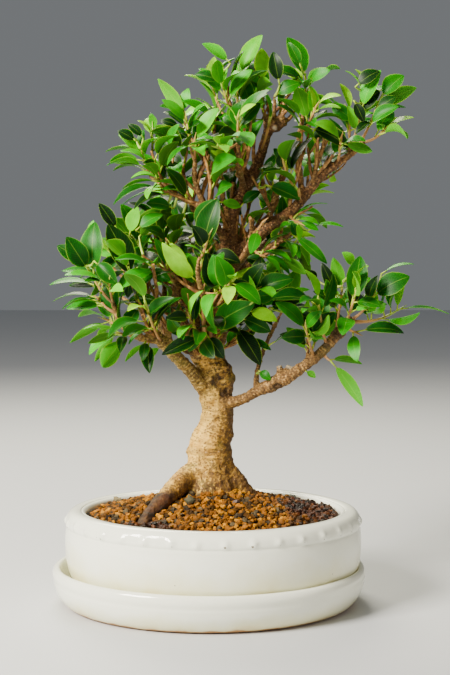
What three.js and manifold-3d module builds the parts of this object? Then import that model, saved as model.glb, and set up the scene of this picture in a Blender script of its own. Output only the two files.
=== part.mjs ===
// Chinese banyan bonsai: a small fig tree in an oval glazed pot, which stands in its own saucer.
// Millimetres. x runs to the right, y to the back and z up.
// The origin is the middle of the saucer's underside.

import * as THREE from 'three';
import Module from 'manifold-3d';

const wasm = await Module();
wasm.setup();

// Clearance that is kept between pieces that touch on the real object.
const GAP = 0.35;

// Pot and saucer. Every outline is an oval whose half depth is a fixed amount less than its half width.
const OVAL_LESS = 14;
const OVAL_CORE = 40;
const OVAL_SIDES = 36;
const POT_X = 2.5;
const SAUCER_HALF_WIDTH = 95.5;
const SAUCER_HEIGHT = 23.5;
const SAUCER_FLOOR = 5;
const POT_HALF_WIDTH = 90;
const POT_RIM_HEIGHT = 57.6;
const POT_MOUTH_HALF_WIDTH = 77.2;
const POT_UNDERSIDE = 8.5;
const POT_FLOOR = 14.5;
const FOOT_GAP_WIDTH = 26;

// Glazed studs in a row under the rim.
const STUD_COUNT = 36;
const STUD_RADIUS = 3;
const STUD_HEIGHT = 51.4;
const STUD_PROUD = 0.9;
const STUD_SIDES = 6;
const STUD_INSET = 1.2;

// Two drain holes in the floor, each under a disc of plastic netting.
const DRAIN_X = 34;
const DRAIN_RADIUS = 7;
const NETTING_RADIUS = 12;
const NETTING_THICKNESS = 1.2;
const NETTING_MESH = 4.5;
const NETTING_HOLE = 3;

// Granular soil, heaped towards the trunk.
const SOIL_EDGE_HEIGHT = 53;
const SOIL_HEAP = 9.5;
const SOIL_GRAIN = 0.9;

// Leaves: thick oval blades, folded along the midrib and bent down towards the tip.
const BLADE_THICKNESS = 0.7;
const LEAF_LENGTH = 27;
const LEAF_LONGEST = 38;
const LEAF_WIDTH = 0.235;
const LEAF_FOLD = 0.3;
const LEAF_ARCH = 0.1;
const LEAF_STATIONS = [[0.4, 1], [0.74, 0.84]];
const LEAF_MIDDLE = 0.56;

// Leafy shoots.
const SHOOT_BASE_RADIUS = 1.4;
const SHOOT_TIP_RADIUS = 0.9;
const SHOOT_SAG = 0.1;
const SHOOT_TWIST = 25;
const BARE_SHOOT = 0.35;
const SPREAD_LOW = 78;
const SPREAD_TOP = 40;
const SMALLEST_LEAF = 0.8;
const LARGEST_LEAF = 1.1;
const YOUNG_SHORTER = 0.15;
const LEAF_DROOP = 0.2;
const LIGHT_SEEKING = 0.7;

// How a leaf chooses its seat: near its own length from the tip, and facing it.
const TARGET_SEATS = 4;
const OUTWARD_WEIGHT = 2;
const LEAST_OUTWARD = 0.3;
const LEAST_UPRIGHT = 0.1;

// Small turns of a leaf about its shoot, and of its face about the leaf, that are tried until it hangs free.
const TURNS = [0, 1, -1, 2, -2, 3, -3];
const TARGET_SWING = 7;
const FREE_SWING = 14;
const ROLLS = [0, 32, -32];

// The trunk, from below the soil to the point where the stems part: x, y, z and radius.
const TRUNK = [
  [2, 8, 44, 12], [2, 8, 55, 18], [2, 8, 64, 20.5], [2, 8, 71, 19], [2, 8, 77, 16.8],
  [1, 8, 84, 14.3], [0, 8, 91, 13.8], [1, 8, 97, 13.3], [3, 8, 103, 11.7], [4.5, 8, 110, 10.3],
  [5, 8, 118, 9.7], [4, 8, 125, 10], [3, 8, 132, 11.3], [3, 8, 140, 10.6], [2.5, 8, 147, 9.6],
  [3, 8, 156, 8.6], [8, 7, 172, 7.6],
];

// The leader, which carries the top of the tree.
const LEADER = [
  [8, 7, 172, 7.6], [13, 6, 190, 7.3], [15, 6, 214, 6.7], [14, 6, 238, 6], [19, 6, 249, 4.6],
  [24, 6, 260, 3.9], [31, 5, 275, 2.9], [36, 5, 284, 2.7],
];

// Roots that spread over the soil and dip into it.
const ROOTS = [
  [[-2, 6, 80, 9], [-19, -3, 73, 7.2], [-28, -14, 68, 6], [-35, -26, 61, 5.3], [-40, -38, 55, 4.6],
    [-43, -45, 48, 3.4]],
  [[8, 6, 80, 8], [22, 6, 69, 6.2], [30, 8, 61, 4.5], [40, 11, 54, 3.2]],
  [[4, 0, 76, 8], [6, -14, 66, 6], [10, -25, 58, 4], [14, -33, 52, 3]],
  [[0, 14, 78, 8], [-4, 28, 66, 6], [-8, 38, 58, 4.2], [-10, 46, 51, 3]],
  [[8, 12, 74, 8], [20, 24, 64, 5], [30, 34, 55, 3.4]],
  [[-6, 12, 76, 8], [-21, 22, 65, 5.4], [-33, 30, 55, 3.6]],
];

// Limbs and branches, each from inside the wood that carries it.
const BRANCHES = {
  left_limb: [[-2, 5, 129, 5.8], [-12, -2, 141, 5], [-19, -8, 151, 4.7], [-28, -14, 160, 4.3],
    [-37, -18, 170, 3.9]],
  left_twig: [[-29, -15, 161, 3], [-44, -20, 164, 1.9], [-52, -24, 172, 1.6], [-56, -26, 184, 1.5]],
  left_riser: [[-35, -17, 168, 3.2], [-29, -6, 179, 2.6], [-27, 2, 190, 2.2], [-28, 8, 204, 1.8]],
  left_rear: [[-21, -8, 154, 3.4], [-31, 18, 168, 2.6], [-43, 34, 183, 2.1], [-49, 42, 194, 1.6]],
  right_limb: [[8, 5, 122, 6], [19, 0, 125, 4.6], [29, -5, 132, 4.1], [40, -10, 139, 4.6],
    [54, -13, 145, 3.5], [67, -14, 153, 3.5], [75, -14, 164, 3.8], [83, -14, 172, 3.2]],
  right_thin: [[31, -5, 133, 2.4], [33, 4, 146, 1.6], [37, 10, 162, 1.5], [43, 12, 174, 1.4]],
  crown_limb: [[14, 6, 205, 5.4], [23, 4, 214, 4.6], [32, 1, 223, 4.2], [43, -2, 232, 3.7],
    [55, -3, 243, 3.3], [60, -3, 250, 3], [69, -2, 260, 2.6], [77, -2, 266, 2.6], [84, -2, 271, 2.4],
    [93, -3, 279, 1.8]],
  crown_riser: [[55, -3, 243, 2.6], [55, -2, 256, 2.1], [53, 0, 274, 1.9], [56, 2, 292, 1.7],
    [58, 4, 306, 1.5]],
  crown_rear: [[49, -3, 237, 3], [56, 18, 245, 2.2], [64, 34, 255, 1.7]],
  upper_left: [[14, 5, 213, 4.6], [5, -4, 228, 3.5], [-3, -10, 242, 2.9], [-8, -14, 256, 2.3],
    [-8, -16, 268, 1.9]],
  upper_middle: [[1, -7, 236, 2.9], [1, -6, 253, 2.3], [4, -5, 267, 2], [3, -5, 287, 1.8]],
  upper_side: [[-2, -9, 240, 2.6], [-14, -6, 244, 2.1], [-26, 0, 252, 1.9], [-36, 4, 259, 1.7]],
  top: [[22, 6, 257, 3.2], [20, 2, 274, 2.4], [16, 0, 293, 2.2]],
  rear_left: [[7, 9, 168, 4.4], [-3, 32, 193, 2.9], [-16, 50, 211, 2.3], [-25, 60, 224, 1.8]],
  rear_right: [[14, 7, 198, 4.4], [27, 32, 211, 2.9], [40, 50, 224, 2.3], [48, 60, 231, 1.8]],
  rear_top: [[16, 7, 242, 3.6], [14, 28, 264, 2.5], [11, 42, 284, 2.1], [10, 48, 298, 1.8]],
  rear_low: [[3, 10, 152, 4.4], [11, 34, 164, 2.9], [23, 55, 176, 2.3]],
  front_left: [[7, 5, 166, 3.9], [-2, -18, 185, 2.7], [-6, -36, 202, 2.1], [-5, -44, 210, 1.7]],
  front_right: [[15, 5, 201, 3.9], [22, -18, 213, 2.6], [25, -34, 225, 2.1], [24, -44, 233, 1.7]],
  front_top: [[21, 5, 253, 3], [18, -18, 264, 2.2], [17, -32, 276, 1.8]],
};

// Leafy sprays: where each leaves the wood and where its shoots end, how many leaves a shoot has,
// and the tips of some of them.
const SPRAYS = [
  { name: 'upper_left_1', from: [-35, 3.5, 258.5], shoots: [
    { to: [-39, -4, 269], leaves: 5, tips: [[-59, -8, 267], [-58, 3, 262], [-54, -4, 283],
      [-49, 6, 291]] },
    { to: [-34, 4, 285], leaves: 4, tips: [[-43, 2, 292], [-35, 10, 297]] },
  ] },
  { name: 'upper_left_2', from: [-25, -0.5, 251.5], shoots: [
    { to: [-30, -14, 256], leaves: 4, tips: [[-51, -18, 250], [-57, -8, 241]] },
    { to: [-21, -8, 270], leaves: 5, tips: [[-30, -4, 299], [-17, -20, 288]] },
  ] },
  { name: 'upper_left_3', from: [-8, -15, 263], shoots: [
    { to: [-13, -14, 291], leaves: 6, tips: [[-30, -12, 315], [-27, -4, 309], [-13, -20, 309],
      [-5, -12, 312]] },
  ] },
  { name: 'upper_left_4', from: [-8, -16, 268], shoots: [
    { to: [-8, -24, 277], leaves: 4, tips: [[-24, -30, 263], [-31, -22, 275]] },
  ] },
  { name: 'upper_left_5', from: [3, -5, 286], shoots: [
    { to: [4, -8, 296], leaves: 4, tips: [[-7, -22, 284], [-8, -2, 305]] },
  ] },
  { name: 'upper_left_6', from: [1, -6, 250], shoots: [
    { to: [9, -24, 268], leaves: 4, tips: [[14, -30, 282], [-2, -34, 277]] },
  ] },
  { name: 'top_1', from: [16, 0, 292], shoots: [
    { to: [8, -8, 312], leaves: 5, tips: [[-3, -6, 336], [-9, -12, 317], [-6, 2, 323], [6, -22, 325]] },
    { to: [18, 4, 318], leaves: 5, tips: [[32, 4, 343], [21, -8, 332], [35, -4, 321]] },
  ] },
  { name: 'top_2', from: [34.5, 5, 281.5], shoots: [
    { to: [32, 10, 315], leaves: 5, tips: [[33, 10, 336], [26, 24, 330]] },
    { to: [43, -4, 308], leaves: 5, tips: [[43, -8, 332], [52, 6, 327], [52, -20, 309]] },
  ] },
  { name: 'top_3', from: [57.5, 3.5, 304], shoots: [
    { to: [58, 4, 316], leaves: 6, tips: [[47, 6, 342], [72, -6, 321], [86, 4, 331], [83, 14, 325]] },
  ] },
  { name: 'top_4', from: [54.5, 1, 283], shoots: [
    { to: [63, -10, 298], leaves: 5, tips: [[63, -20, 286], [78, -14, 305], [74, -4, 313]] },
  ] },
  { name: 'top_5', from: [30, 5, 273], shoots: [
    { to: [36, -22, 291], leaves: 5, tips: [[31, -34, 305], [44, -36, 300], [23, -28, 303]] },
  ] },
  { name: 'limb_1', from: [55, -3, 244], shoots: [
    { to: [53, -16, 249], leaves: 2, tips: [[31, -30, 259]] },
    { to: [44, -14, 267], leaves: 4, tips: [[36, -22, 278]] },
  ] },
  { name: 'upper_right_1', from: [77, -2, 266], shoots: [
    { to: [78, -12, 279], leaves: 5, tips: [[57, -22, 282], [96, -18, 272], [70, -14, 293]] },
  ] },
  { name: 'upper_right_2', from: [83.5, -2, 270.5], shoots: [
    { to: [85, 6, 297], leaves: 4, tips: [[79, 10, 315], [72, 12, 307]] },
    { to: [93, 0, 310], leaves: 5, tips: [[88, 6, 323], [102, -6, 321], [109, 6, 324]] },
  ] },
  { name: 'upper_right_3', from: [85.5, -2, 272.5], shoots: [
    { to: [102, -4, 304], leaves: 5, tips: [[116, -4, 318], [124, -2, 311], [112, -12, 299],
      [101, 4, 321]] },
  ] },
  { name: 'upper_right_4', from: [92.5, -3, 278.5], shoots: [
    { to: [106, -4, 287], leaves: 4, tips: [[122, -6, 293], [116, 6, 294], [99, -14, 288]] },
  ] },
  { name: 'limb_2', from: [62.5, -2.5, 252.5], shoots: [
    { to: [65, 8, 274], leaves: 5, tips: [[71, 14, 292], [56, 18, 290]] },
    { to: [65, -2, 254], leaves: 2, tips: [[68, -6, 245], [81, 4, 266]] },
  ] },
  { name: 'limb_3', from: [47.5, -2.5, 236.5], shoots: [
    { to: [53, -12, 231], leaves: 4, tips: [[65, -14, 226], [53, -16, 220], [71, -6, 242]] },
  ] },
  { name: 'limb_4', from: [37.5, -0.5, 227.5], shoots: [
    { to: [50, 0, 219], leaves: 5, tips: [[71, 2, 212], [76, -4, 229], [60, 4, 204]] },
  ] },
  { name: 'limb_5', from: [26, 3, 217], shoots: [
    { to: [32, -12, 211], leaves: 4, tips: [[42, -18, 201], [31, -22, 195], [49, -14, 207]] },
  ] },
  { name: 'left_1', from: [-55.5, -26, 183], shoots: [
    { to: [-71, -24, 205], leaves: 6, tips: [[-89, -20, 217], [-82, -34, 222], [-67, -26, 231],
      [-82, -8, 234], [-93, -26, 194]] },
    { to: [-57, -38, 195], leaves: 5, tips: [[-82, -44, 200], [-64, -50, 208], [-48, -50, 191]] },
  ] },
  { name: 'left_2', from: [-54, -25, 177.5], shoots: [
    { to: [-65, -22, 186], leaves: 4, tips: [[-92, -20, 184], [-85, -32, 180], [-75, -34, 193]] },
  ] },
  { name: 'left_3', from: [-51.5, -24, 171.5], shoots: [
    { to: [-60, -16, 173], leaves: 4, tips: [[-83, -12, 159], [-79, -2, 174], [-65, -8, 158]] },
  ] },
  { name: 'left_4', from: [-46, -21, 166], shoots: [
    { to: [-51, -32, 166], leaves: 4, tips: [[-61, -40, 147], [-69, -42, 161], [-67, -28, 149]] },
  ] },
  { name: 'left_5', from: [-37, -18, 170], shoots: [
    { to: [-47, -28, 207], leaves: 6, tips: [[-58, -42, 220], [-50, -50, 208], [-39, -32, 240],
      [-57, -22, 233], [-65, -14, 243]] },
  ] },
  { name: 'left_6', from: [-29, -6, 179], shoots: [
    { to: [-42, 2, 216], leaves: 5, tips: [[-53, 0, 242], [-36, 12, 241], [-56, 14, 225]] },
    { to: [-26, -20, 207], leaves: 5, tips: [[-33, -42, 208], [-28, -32, 221], [-15, -30, 220]] },
  ] },
  { name: 'left_7', from: [-28, 7.5, 202.5], shoots: [
    { to: [-30, 6, 231], leaves: 6, tips: [[-36, 2, 247], [-23, -8, 242], [-44, -4, 236],
      [-15, 0, 236]] },
  ] },
  { name: 'left_8', from: [-32.5, -16, 161.5], shoots: [
    { to: [-37, -24, 161], leaves: 3, tips: [[-49, -26, 149], [-38, -34, 150]] },
  ] },
  { name: 'left_9', from: [-26.5, -13, 158.5], shoots: [
    { to: [-36, -42, 184], leaves: 5, tips: [[-47, -54, 201], [-24, -56, 186], [-45, -58, 180],
      [-27, -56, 196]] },
  ] },
  { name: 'centre_1', from: [3, 8, 153.5], shoots: [
    { to: [-3, -24, 195], leaves: 5, tips: [[-27, -36, 220], [-9, -42, 213], [33, -30, 202],
      [29, -26, 187]] },
  ] },
  { name: 'centre_2', from: [-5, -43, 209], shoots: [
    { to: [0, -54, 221], leaves: 4, tips: [[8, -58, 233], [2, -54, 244], [-9, -60, 228],
      [-13, -58, 217]] },
  ] },
  { name: 'centre_3', from: [-3, -22, 189], shoots: [
    { to: [14, -50, 197], leaves: 5, tips: [[5, -62, 211], [25, -62, 210], [11, -62, 184],
      [27, -60, 187]] },
  ] },
  { name: 'centre_4', from: [24.5, -31.5, 223.5], shoots: [
    { to: [31, -46, 230], leaves: 5, tips: [[24, -52, 212], [45, -54, 232], [38, -48, 245]] },
    { to: [21, -54, 242], leaves: 5, tips: [[14, -56, 253], [30, -62, 250], [10, -60, 239]] },
  ] },
  { name: 'centre_5', from: [11.5, 6.5, 184], shoots: [
    { to: [28, -22, 191], leaves: 5, tips: [[50, -26, 198], [42, -34, 187], [31, -30, 207]] },
  ] },
  { name: 'centre_6', from: [6, 2.5, 168], shoots: [
    { to: [24, -26, 182], leaves: 4, tips: [[40, -30, 173], [10, -30, 155], [31, -34, 166]] },
  ] },
  { name: 'centre_7', from: [3.5, 8, 157], shoots: [
    { to: [-11, -30, 175], leaves: 4, tips: [[-17, -42, 164], [-7, -44, 160], [-24, -40, 175]] },
  ] },
  { name: 'right_1', from: [74, -14, 163], shoots: [
    { to: [79, -14, 190], leaves: 5, tips: [[74, -10, 210], [79, -24, 213], [68, -30, 196]] },
  ] },
  { name: 'right_2', from: [79, -14, 168], shoots: [
    { to: [86, -26, 189], leaves: 5, tips: [[92, -34, 206], [89, -20, 211], [82, -46, 202]] },
  ] },
  { name: 'right_3', from: [83, -14, 172], shoots: [
    { to: [97, -16, 186], leaves: 4, tips: [[118, -22, 199], [122, -6, 207], [102, -34, 184]] },
    { to: [113, -12, 179], leaves: 3, tips: [[144, -8, 176], [124, -24, 178]] },
  ] },
  { name: 'right_4', from: [81, -14, 170], shoots: [
    { to: [87, -22, 166], leaves: 3, tips: [[106, -30, 136], [103, -36, 161], [116, -14, 165]] },
  ] },
  { name: 'right_5', from: [67.5, -14, 153.5], shoots: [
    { to: [72, -18, 149], leaves: 2, tips: [[91, -22, 122], [92, -8, 146]] },
  ] },
  { name: 'right_6', from: [63, -13.5, 150.5], shoots: [
    { to: [57, -26, 169], leaves: 4, tips: [[36, -32, 165], [61, -48, 164], [46, -20, 158]] },
  ] },
  { name: 'right_7', from: [70, -14, 157], shoots: [
    { to: [64, -28, 185], leaves: 5, tips: [[56, -30, 203], [36, -38, 186], [52, -50, 194],
      [73, -50, 179]] },
  ] },
  { name: 'right_8', from: [42.5, 12, 173], shoots: [
    { to: [47, 18, 184], leaves: 5, tips: [[36, 22, 198], [62, 20, 190]] },
  ] },
  { name: 'right_9', from: [57, -13, 147], shoots: [
    { to: [69, 12, 173], leaves: 5, tips: [[80, 20, 189], [60, 26, 186], [84, 26, 172]] },
  ] },
  { name: 'back_1', from: [-25, 60, 224], shoots: [
    { to: [-34, 66, 243], leaves: 6, tips: [[-53, 58, 249], [-33, 66, 262]] },
    { to: [-13, 72, 244], leaves: 5, tips: [[-4, 70, 260]] },
  ] },
  { name: 'back_2', from: [-9.5, 41, 202], shoots: [
    { to: [-22, 66, 191], leaves: 5, tips: [[-39, 62, 189]] },
  ] },
  { name: 'back_3', from: [48, 60, 231], shoots: [
    { to: [60, 64, 249], leaves: 6, tips: [[77, 58, 256], [58, 62, 270]] },
    { to: [44, 74, 254], leaves: 5, tips: [[34, 74, 267]] },
  ] },
  { name: 'back_4', from: [33.5, 41, 217.5], shoots: [
    { to: [51, 64, 207], leaves: 5, tips: [[66, 62, 207]] },
  ] },
  { name: 'back_5', from: [10, 48, 298], shoots: [
    { to: [1, 48, 319], leaves: 6, tips: [[-16, 42, 324], [3, 44, 336]] },
    { to: [22, 62, 313], leaves: 5, tips: [[29, 56, 327]] },
  ] },
  { name: 'back_6', from: [23, 55, 176], shoots: [
    { to: [31, 66, 190], leaves: 5, tips: [[43, 62, 203], [45, 60, 182]] },
    { to: [8, 72, 192], leaves: 5, tips: [[-4, 70, 207]] },
  ] },
  { name: 'back_7', from: [64, 34, 255], shoots: [
    { to: [76, 40, 277], leaves: 5, tips: [[88, 36, 289], [68, 44, 291]] },
  ] },
  { name: 'back_8', from: [-49, 42, 194], shoots: [
    { to: [-62, 42, 214], leaves: 5, tips: [[-78, 34, 223], [-63, 42, 232]] },
    { to: [-46, 56, 221], leaves: 5, tips: [[-47, 52, 237]] },
  ] },
  { name: 'front_up_1', from: [17, -32, 276], shoots: [
    { to: [17, -44, 289], leaves: 5, tips: [[5, -46, 299], [27, -50, 296]] },
    { to: [5, -50, 272], leaves: 4, tips: [[-10, -48, 271]] },
  ] },
];

const V = (x, y, z) => new THREE.Vector3(x, y, z);
const UP = V(0, 0, 1);

// A solid from points and triangles that share their corners.
function solidFrom(points, triangles) {
  const vertProperties = new Float32Array(points.flatMap((p) => [p.x, p.y, p.z]));
  const triVerts = new Uint32Array(triangles.flat());
  return new wasm.Manifold(new wasm.Mesh({ numProp: 3, vertProperties, triVerts }));
}

// A solid from a three.js geometry, whose corners are shared by their place.
function solidOf(geometry) {
  const place = geometry.getAttribute('position');
  const found = new Map();
  const points = [];
  const corner = [];
  for (let i = 0; i < place.count; i++) {
    const point = V(place.getX(i), place.getY(i), place.getZ(i));
    const key = point.toArray().map((c) => Math.round(c * 1000)).join();
    if (!found.has(key)) {
      found.set(key, points.length);
      points.push(point);
    }
    corner.push(found.get(key));
  }
  const order = geometry.index ? [...geometry.index.array] : corner.map((_, i) => i);
  const triangles = [];
  for (let i = 0; i < order.length; i += 3) {
    const [a, b, c] = [corner[order[i]], corner[order[i + 1]], corner[order[i + 2]]];
    if (a !== b && b !== c && c !== a) triangles.push([a, b, c]);
  }
  return solidFrom(points, triangles);
}

function geometryOf(solid) {
  const { vertProperties, triVerts } = solid.getMesh();
  const geometry = new THREE.BufferGeometry();
  geometry.setAttribute('position', new THREE.BufferAttribute(vertProperties, 3));
  geometry.setIndex(new THREE.BufferAttribute(triVerts, 1));
  geometry.computeVertexNormals();
  return geometry;
}

const joined = (solids) => solids.reduce((whole, solid) => whole.add(solid));

// The largest body of a solid, without the scraps that a cut left.
const largest = (solid) => solid.decompose().reduce((a, b) => (b.volume() > a.volume() ? b : a));

// The same numbers from 0 to 1 on every run, one for each set of whole numbers.
function draw(...keys) {
  let mixed = 2166136261;
  for (const key of keys) {
    mixed = Math.imul(mixed ^ (key + 977), 16777619);
    mixed ^= mixed >>> 13;
  }
  mixed = Math.imul(mixed ^ (mixed >>> 16), 2246822519);
  return ((mixed ^ (mixed >>> 15)) >>> 0) / 4294967296;
}

// How much shorter an oval of this half width is from front to back.
const ovalDepth = (halfWidth) => 1 - OVAL_LESS / Math.max(halfWidth, OVAL_CORE);

// A body with oval outlines: its profile, as half widths and heights, starts and ends on the axis.
function ovalGeometry(profile) {
  const geometry = new THREE.LatheGeometry(profile.map(([r, z]) => new THREE.Vector2(r, z)), OVAL_SIDES);
  geometry.rotateX(Math.PI / 2);
  const place = geometry.getAttribute('position');
  for (let i = 0; i < place.count; i++) {
    const halfWidth = Math.hypot(place.getX(i), place.getY(i));
    place.setY(i, place.getY(i) * ovalDepth(halfWidth));
  }
  return geometry;
}

const outward = (solid) => {
  if (solid.volume() > 0) return solid;
  throw new Error('a profile runs the wrong way round');
};

// A tube through stations of x, y, z and radius, straight between them and closed at its ends.
function tube(stations, sides, grown = 0) {
  const centres = stations.map(([x, y, z]) => V(x, y, z));
  const points = [];
  const triangles = [];
  const last = centres.length - 1;
  let across = V(0, 1, 0);
  centres.forEach((centre, i) => {
    const along = centres[Math.min(i + 1, last)].clone().sub(centres[Math.max(i - 1, 0)]).normalize();
    across = across.clone().addScaledVector(along, -across.dot(along)).normalize();
    const third = along.clone().cross(across);
    const shift = i === 0 ? -grown : i === last ? grown : 0;
    const middle = centre.clone().addScaledVector(along, shift);
    for (let k = 0; k < sides; k++) {
      const angle = (2 * Math.PI * (k + 0.5)) / sides;
      const reach = stations[i][3] + grown;
      points.push(middle.clone().addScaledVector(across, reach * Math.cos(angle))
        .addScaledVector(third, reach * Math.sin(angle)));
    }
    for (let k = 0; i > 0 && k < sides; k++) {
      const next = (k + 1) % sides;
      const low = (i - 1) * sides;
      const high = i * sides;
      triangles.push([low + k, low + next, high + next], [low + k, high + next, high + k]);
    }
  });
  for (let k = 1; k < sides - 1; k++) {
    triangles.push([0, k + 1, k], [last * sides, last * sides + k, last * sides + k + 1]);
  }
  return solidFrom(points, triangles);
}

// Saucer: a thick hand-made dish with a rounded rim.
function saucer() {
  const wide = SAUCER_HALF_WIDTH;
  const high = SAUCER_HEIGHT;
  return outward(solidOf(ovalGeometry([
    [0, 0], [wide - 9.5, 0], [wide - 6, 2.5], [wide - 3, 8], [wide, high - 6], [wide - 0.5, high - 2],
    [wide - 2.5, high], [wide - 4.7, high - 1], [wide - 5.3, high - 5], [wide - 7.5, SAUCER_FLOOR + 6],
    [wide - 14, SAUCER_FLOOR], [0, SAUCER_FLOOR],
  ])));
}

// The pot's inner wall from its mouth down to its floor, moved in by a clearance.
function innerWall(less) {
  const mouth = POT_MOUTH_HALF_WIDTH;
  return [
    [mouth - less, POT_RIM_HEIGHT - 3], [mouth + 1 - less, POT_RIM_HEIGHT - 8],
    [mouth + 6 - less, POT_RIM_HEIGHT - 16], [mouth + 5 - less, 25], [mouth - 9.5 - less, POT_FLOOR + less],
  ];
}

// Pot: drum-shaped, with a thick lip that turns in, a foot ring in four parts and a row of studs.
function pot() {
  const wide = POT_HALF_WIDTH;
  const rim = POT_RIM_HEIGHT;
  const foot = SAUCER_FLOOR + GAP;
  const wall = [
    [0, POT_UNDERSIDE], [wide - 29, POT_UNDERSIDE], [wide - 28, foot], [wide - 17, foot],
    [wide - 14.5, POT_UNDERSIDE], [wide - 7, 13], [wide - 1.8, 24], [wide, 37],
    [wide - 0.6, rim - 9.8], [wide - 2.2, rim - 3], [wide - 5.4, rim - 0.4], [wide - 9, rim],
  ];
  let body = outward(solidOf(ovalGeometry([...wall, ...innerWall(0), [0, POT_FLOOR]])));
  const studRing = wide - STUD_INSET;
  const studs = [];
  for (let i = 0; i < STUD_COUNT; i++) {
    const angle = (2 * Math.PI * (i + 0.5)) / STUD_COUNT;
    const stud = new THREE.ConeGeometry(2 * STUD_RADIUS, 2 * STUD_PROUD, STUD_SIDES);
    const outwards = V(Math.cos(angle) * ovalDepth(studRing), Math.sin(angle), 0).normalize();
    stud.applyQuaternion(new THREE.Quaternion().setFromUnitVectors(V(0, 1, 0), outwards));
    const depth = studRing * ovalDepth(studRing);
    stud.translate(studRing * Math.cos(angle), depth * Math.sin(angle), STUD_HEIGHT);
    studs.push(solidOf(stud));
  }
  body = body.add(joined(studs));
  for (const turn of [0, Math.PI / 2]) {
    const notch = new THREE.BoxGeometry(4 * wide, FOOT_GAP_WIDTH, 2 * (POT_UNDERSIDE - foot));
    notch.rotateZ(turn).translate(0, 0, foot);
    body = body.subtract(solidOf(notch));
  }
  for (const side of [-1, 1]) {
    const drain = new THREE.CylinderGeometry(DRAIN_RADIUS, DRAIN_RADIUS, 4 * POT_FLOOR, 12);
    drain.rotateX(Math.PI / 2).translate(side * DRAIN_X, 0, POT_FLOOR);
    body = body.subtract(solidOf(drain));
  }
  return body.translate([POT_X, 0, 0]);
}

// A disc of netting that keeps the soil in over a drain hole.
function netting(side, grown = 0) {
  const disc = new THREE.CylinderGeometry(NETTING_RADIUS + grown, NETTING_RADIUS + grown,
    NETTING_THICKNESS + 2 * grown, 12);
  disc.rotateX(Math.PI / 2);
  const middle = [POT_X + side * DRAIN_X, 0, POT_FLOOR + GAP + NETTING_THICKNESS / 2];
  let body = solidOf(disc);
  if (!grown) {
    for (const column of [-1, 0, 1]) {
      for (const row of [-1, 0, 1].filter((r) => (r + column) % 2 === 0)) {
        const hole = new THREE.BoxGeometry(NETTING_HOLE, NETTING_HOLE, 4 * NETTING_THICKNESS);
        hole.translate(column * NETTING_MESH, row * NETTING_MESH, 0);
        body = body.subtract(solidOf(hole));
      }
    }
  }
  return body.translate(middle);
}

// Soil: it fills the pot, with a grainy heap of a top.
function soilBlank() {
  const rings = 6;
  const edge = innerWall(GAP);
  const top = [[0, SOIL_EDGE_HEIGHT]];
  for (let i = 1; i < rings; i++) top.push([(edge[0][0] * i) / rings, SOIL_EDGE_HEIGHT]);
  edge[0][1] = SOIL_EDGE_HEIGHT;
  const geometry = ovalGeometry([...top, ...edge, [0, POT_FLOOR + GAP]].reverse());
  const place = geometry.getAttribute('position');
  for (let i = 0; i < place.count; i++) {
    const [x, y, z] = [place.getX(i), place.getY(i), place.getZ(i)];
    const off = Math.hypot(x, y / ovalDepth(edge[0][0])) / edge[0][0];
    if (z < SOIL_EDGE_HEIGHT - 0.01 || off > 0.999) continue;
    const grain = SOIL_GRAIN * (2 * draw(Math.round(x * 10), Math.round(y * 10)) - 1);
    place.setZ(i, z + SOIL_HEAP * (1 - off * off) + grain);
  }
  return outward(solidOf(geometry)).translate([POT_X, 0, 0]);
}

// Wood: roots, trunk, limbs and branches in one piece.
function wood(grown) {
  return joined([
    tube(TRUNK, 10, grown),
    tube(LEADER, 7, grown),
    ...ROOTS.map((root) => tube(root, 6, grown)),
    ...Object.values(BRANCHES).map((branch) => tube(branch, 5, grown)),
  ]);
}

// A shoot's middle line sags a little between where it leaves the wood and its tip.
function shootPoint(shoot, t) {
  const length = shoot.from.distanceTo(shoot.to);
  return shoot.from.clone().lerp(shoot.to, t).addScaledVector(UP, -4 * SHOOT_SAG * length * t * (1 - t));
}

// Corners of a shoot's square sections: one bare length, then short ones, each turned a little from the last.
function shootRings(shoot) {
  const joints = Math.ceil(shoot.leaves / 2) + 1;
  const leafy = Array.from({ length: joints + 1 }, (_, i) => THREE.MathUtils.lerp(BARE_SHOOT, 1, i / joints));
  const stops = [0, ...leafy];
  const axis = shoot.to.clone().sub(shoot.from).normalize();
  const across = V(0, 1, 0).cross(axis).normalize();
  return stops.map((t, i) => {
    const radius = THREE.MathUtils.lerp(SHOOT_BASE_RADIUS, SHOOT_TIP_RADIUS, t);
    return [0, 1, 2, 3].map((k) => across.clone().multiplyScalar(radius)
      .applyAxisAngle(axis, THREE.MathUtils.degToRad(90 * k + SHOOT_TWIST * i)).add(shootPoint(shoot, t)));
  });
}

// A leaf's points: the four corners of its seat on the shoot, its tip, then the upper and under points of its
// middle and of the near and far right and left edges.
function leafPoints(seat, tip, upper, swell = 0) {
  const foot = middleOf(seat);
  const along = tip.clone().sub(foot);
  const length = along.length();
  const right = upper.clone().cross(along).normalize();
  const half = BLADE_THICKNESS / 2 + swell;
  const spine = (s) => foot.clone().addScaledVector(along, s)
    .addScaledVector(upper, 4 * LEAF_ARCH * length * s * (1 - s));
  const blade = [spine(LEAF_MIDDLE)];
  for (const hand of [1, -1]) {
    for (const [s, wide] of LEAF_STATIONS) {
      const reach = LEAF_WIDTH * length * wide + swell;
      blade.push(spine(s).addScaledVector(upper, LEAF_FOLD * reach).addScaledVector(right, hand * reach));
    }
  }
  const faces = blade.flatMap((p) => [half, -half].map((rise) => p.clone().addScaledVector(upper, rise)));
  return [...seat, tip.clone().addScaledVector(along, swell / length), ...faces];
}

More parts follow.
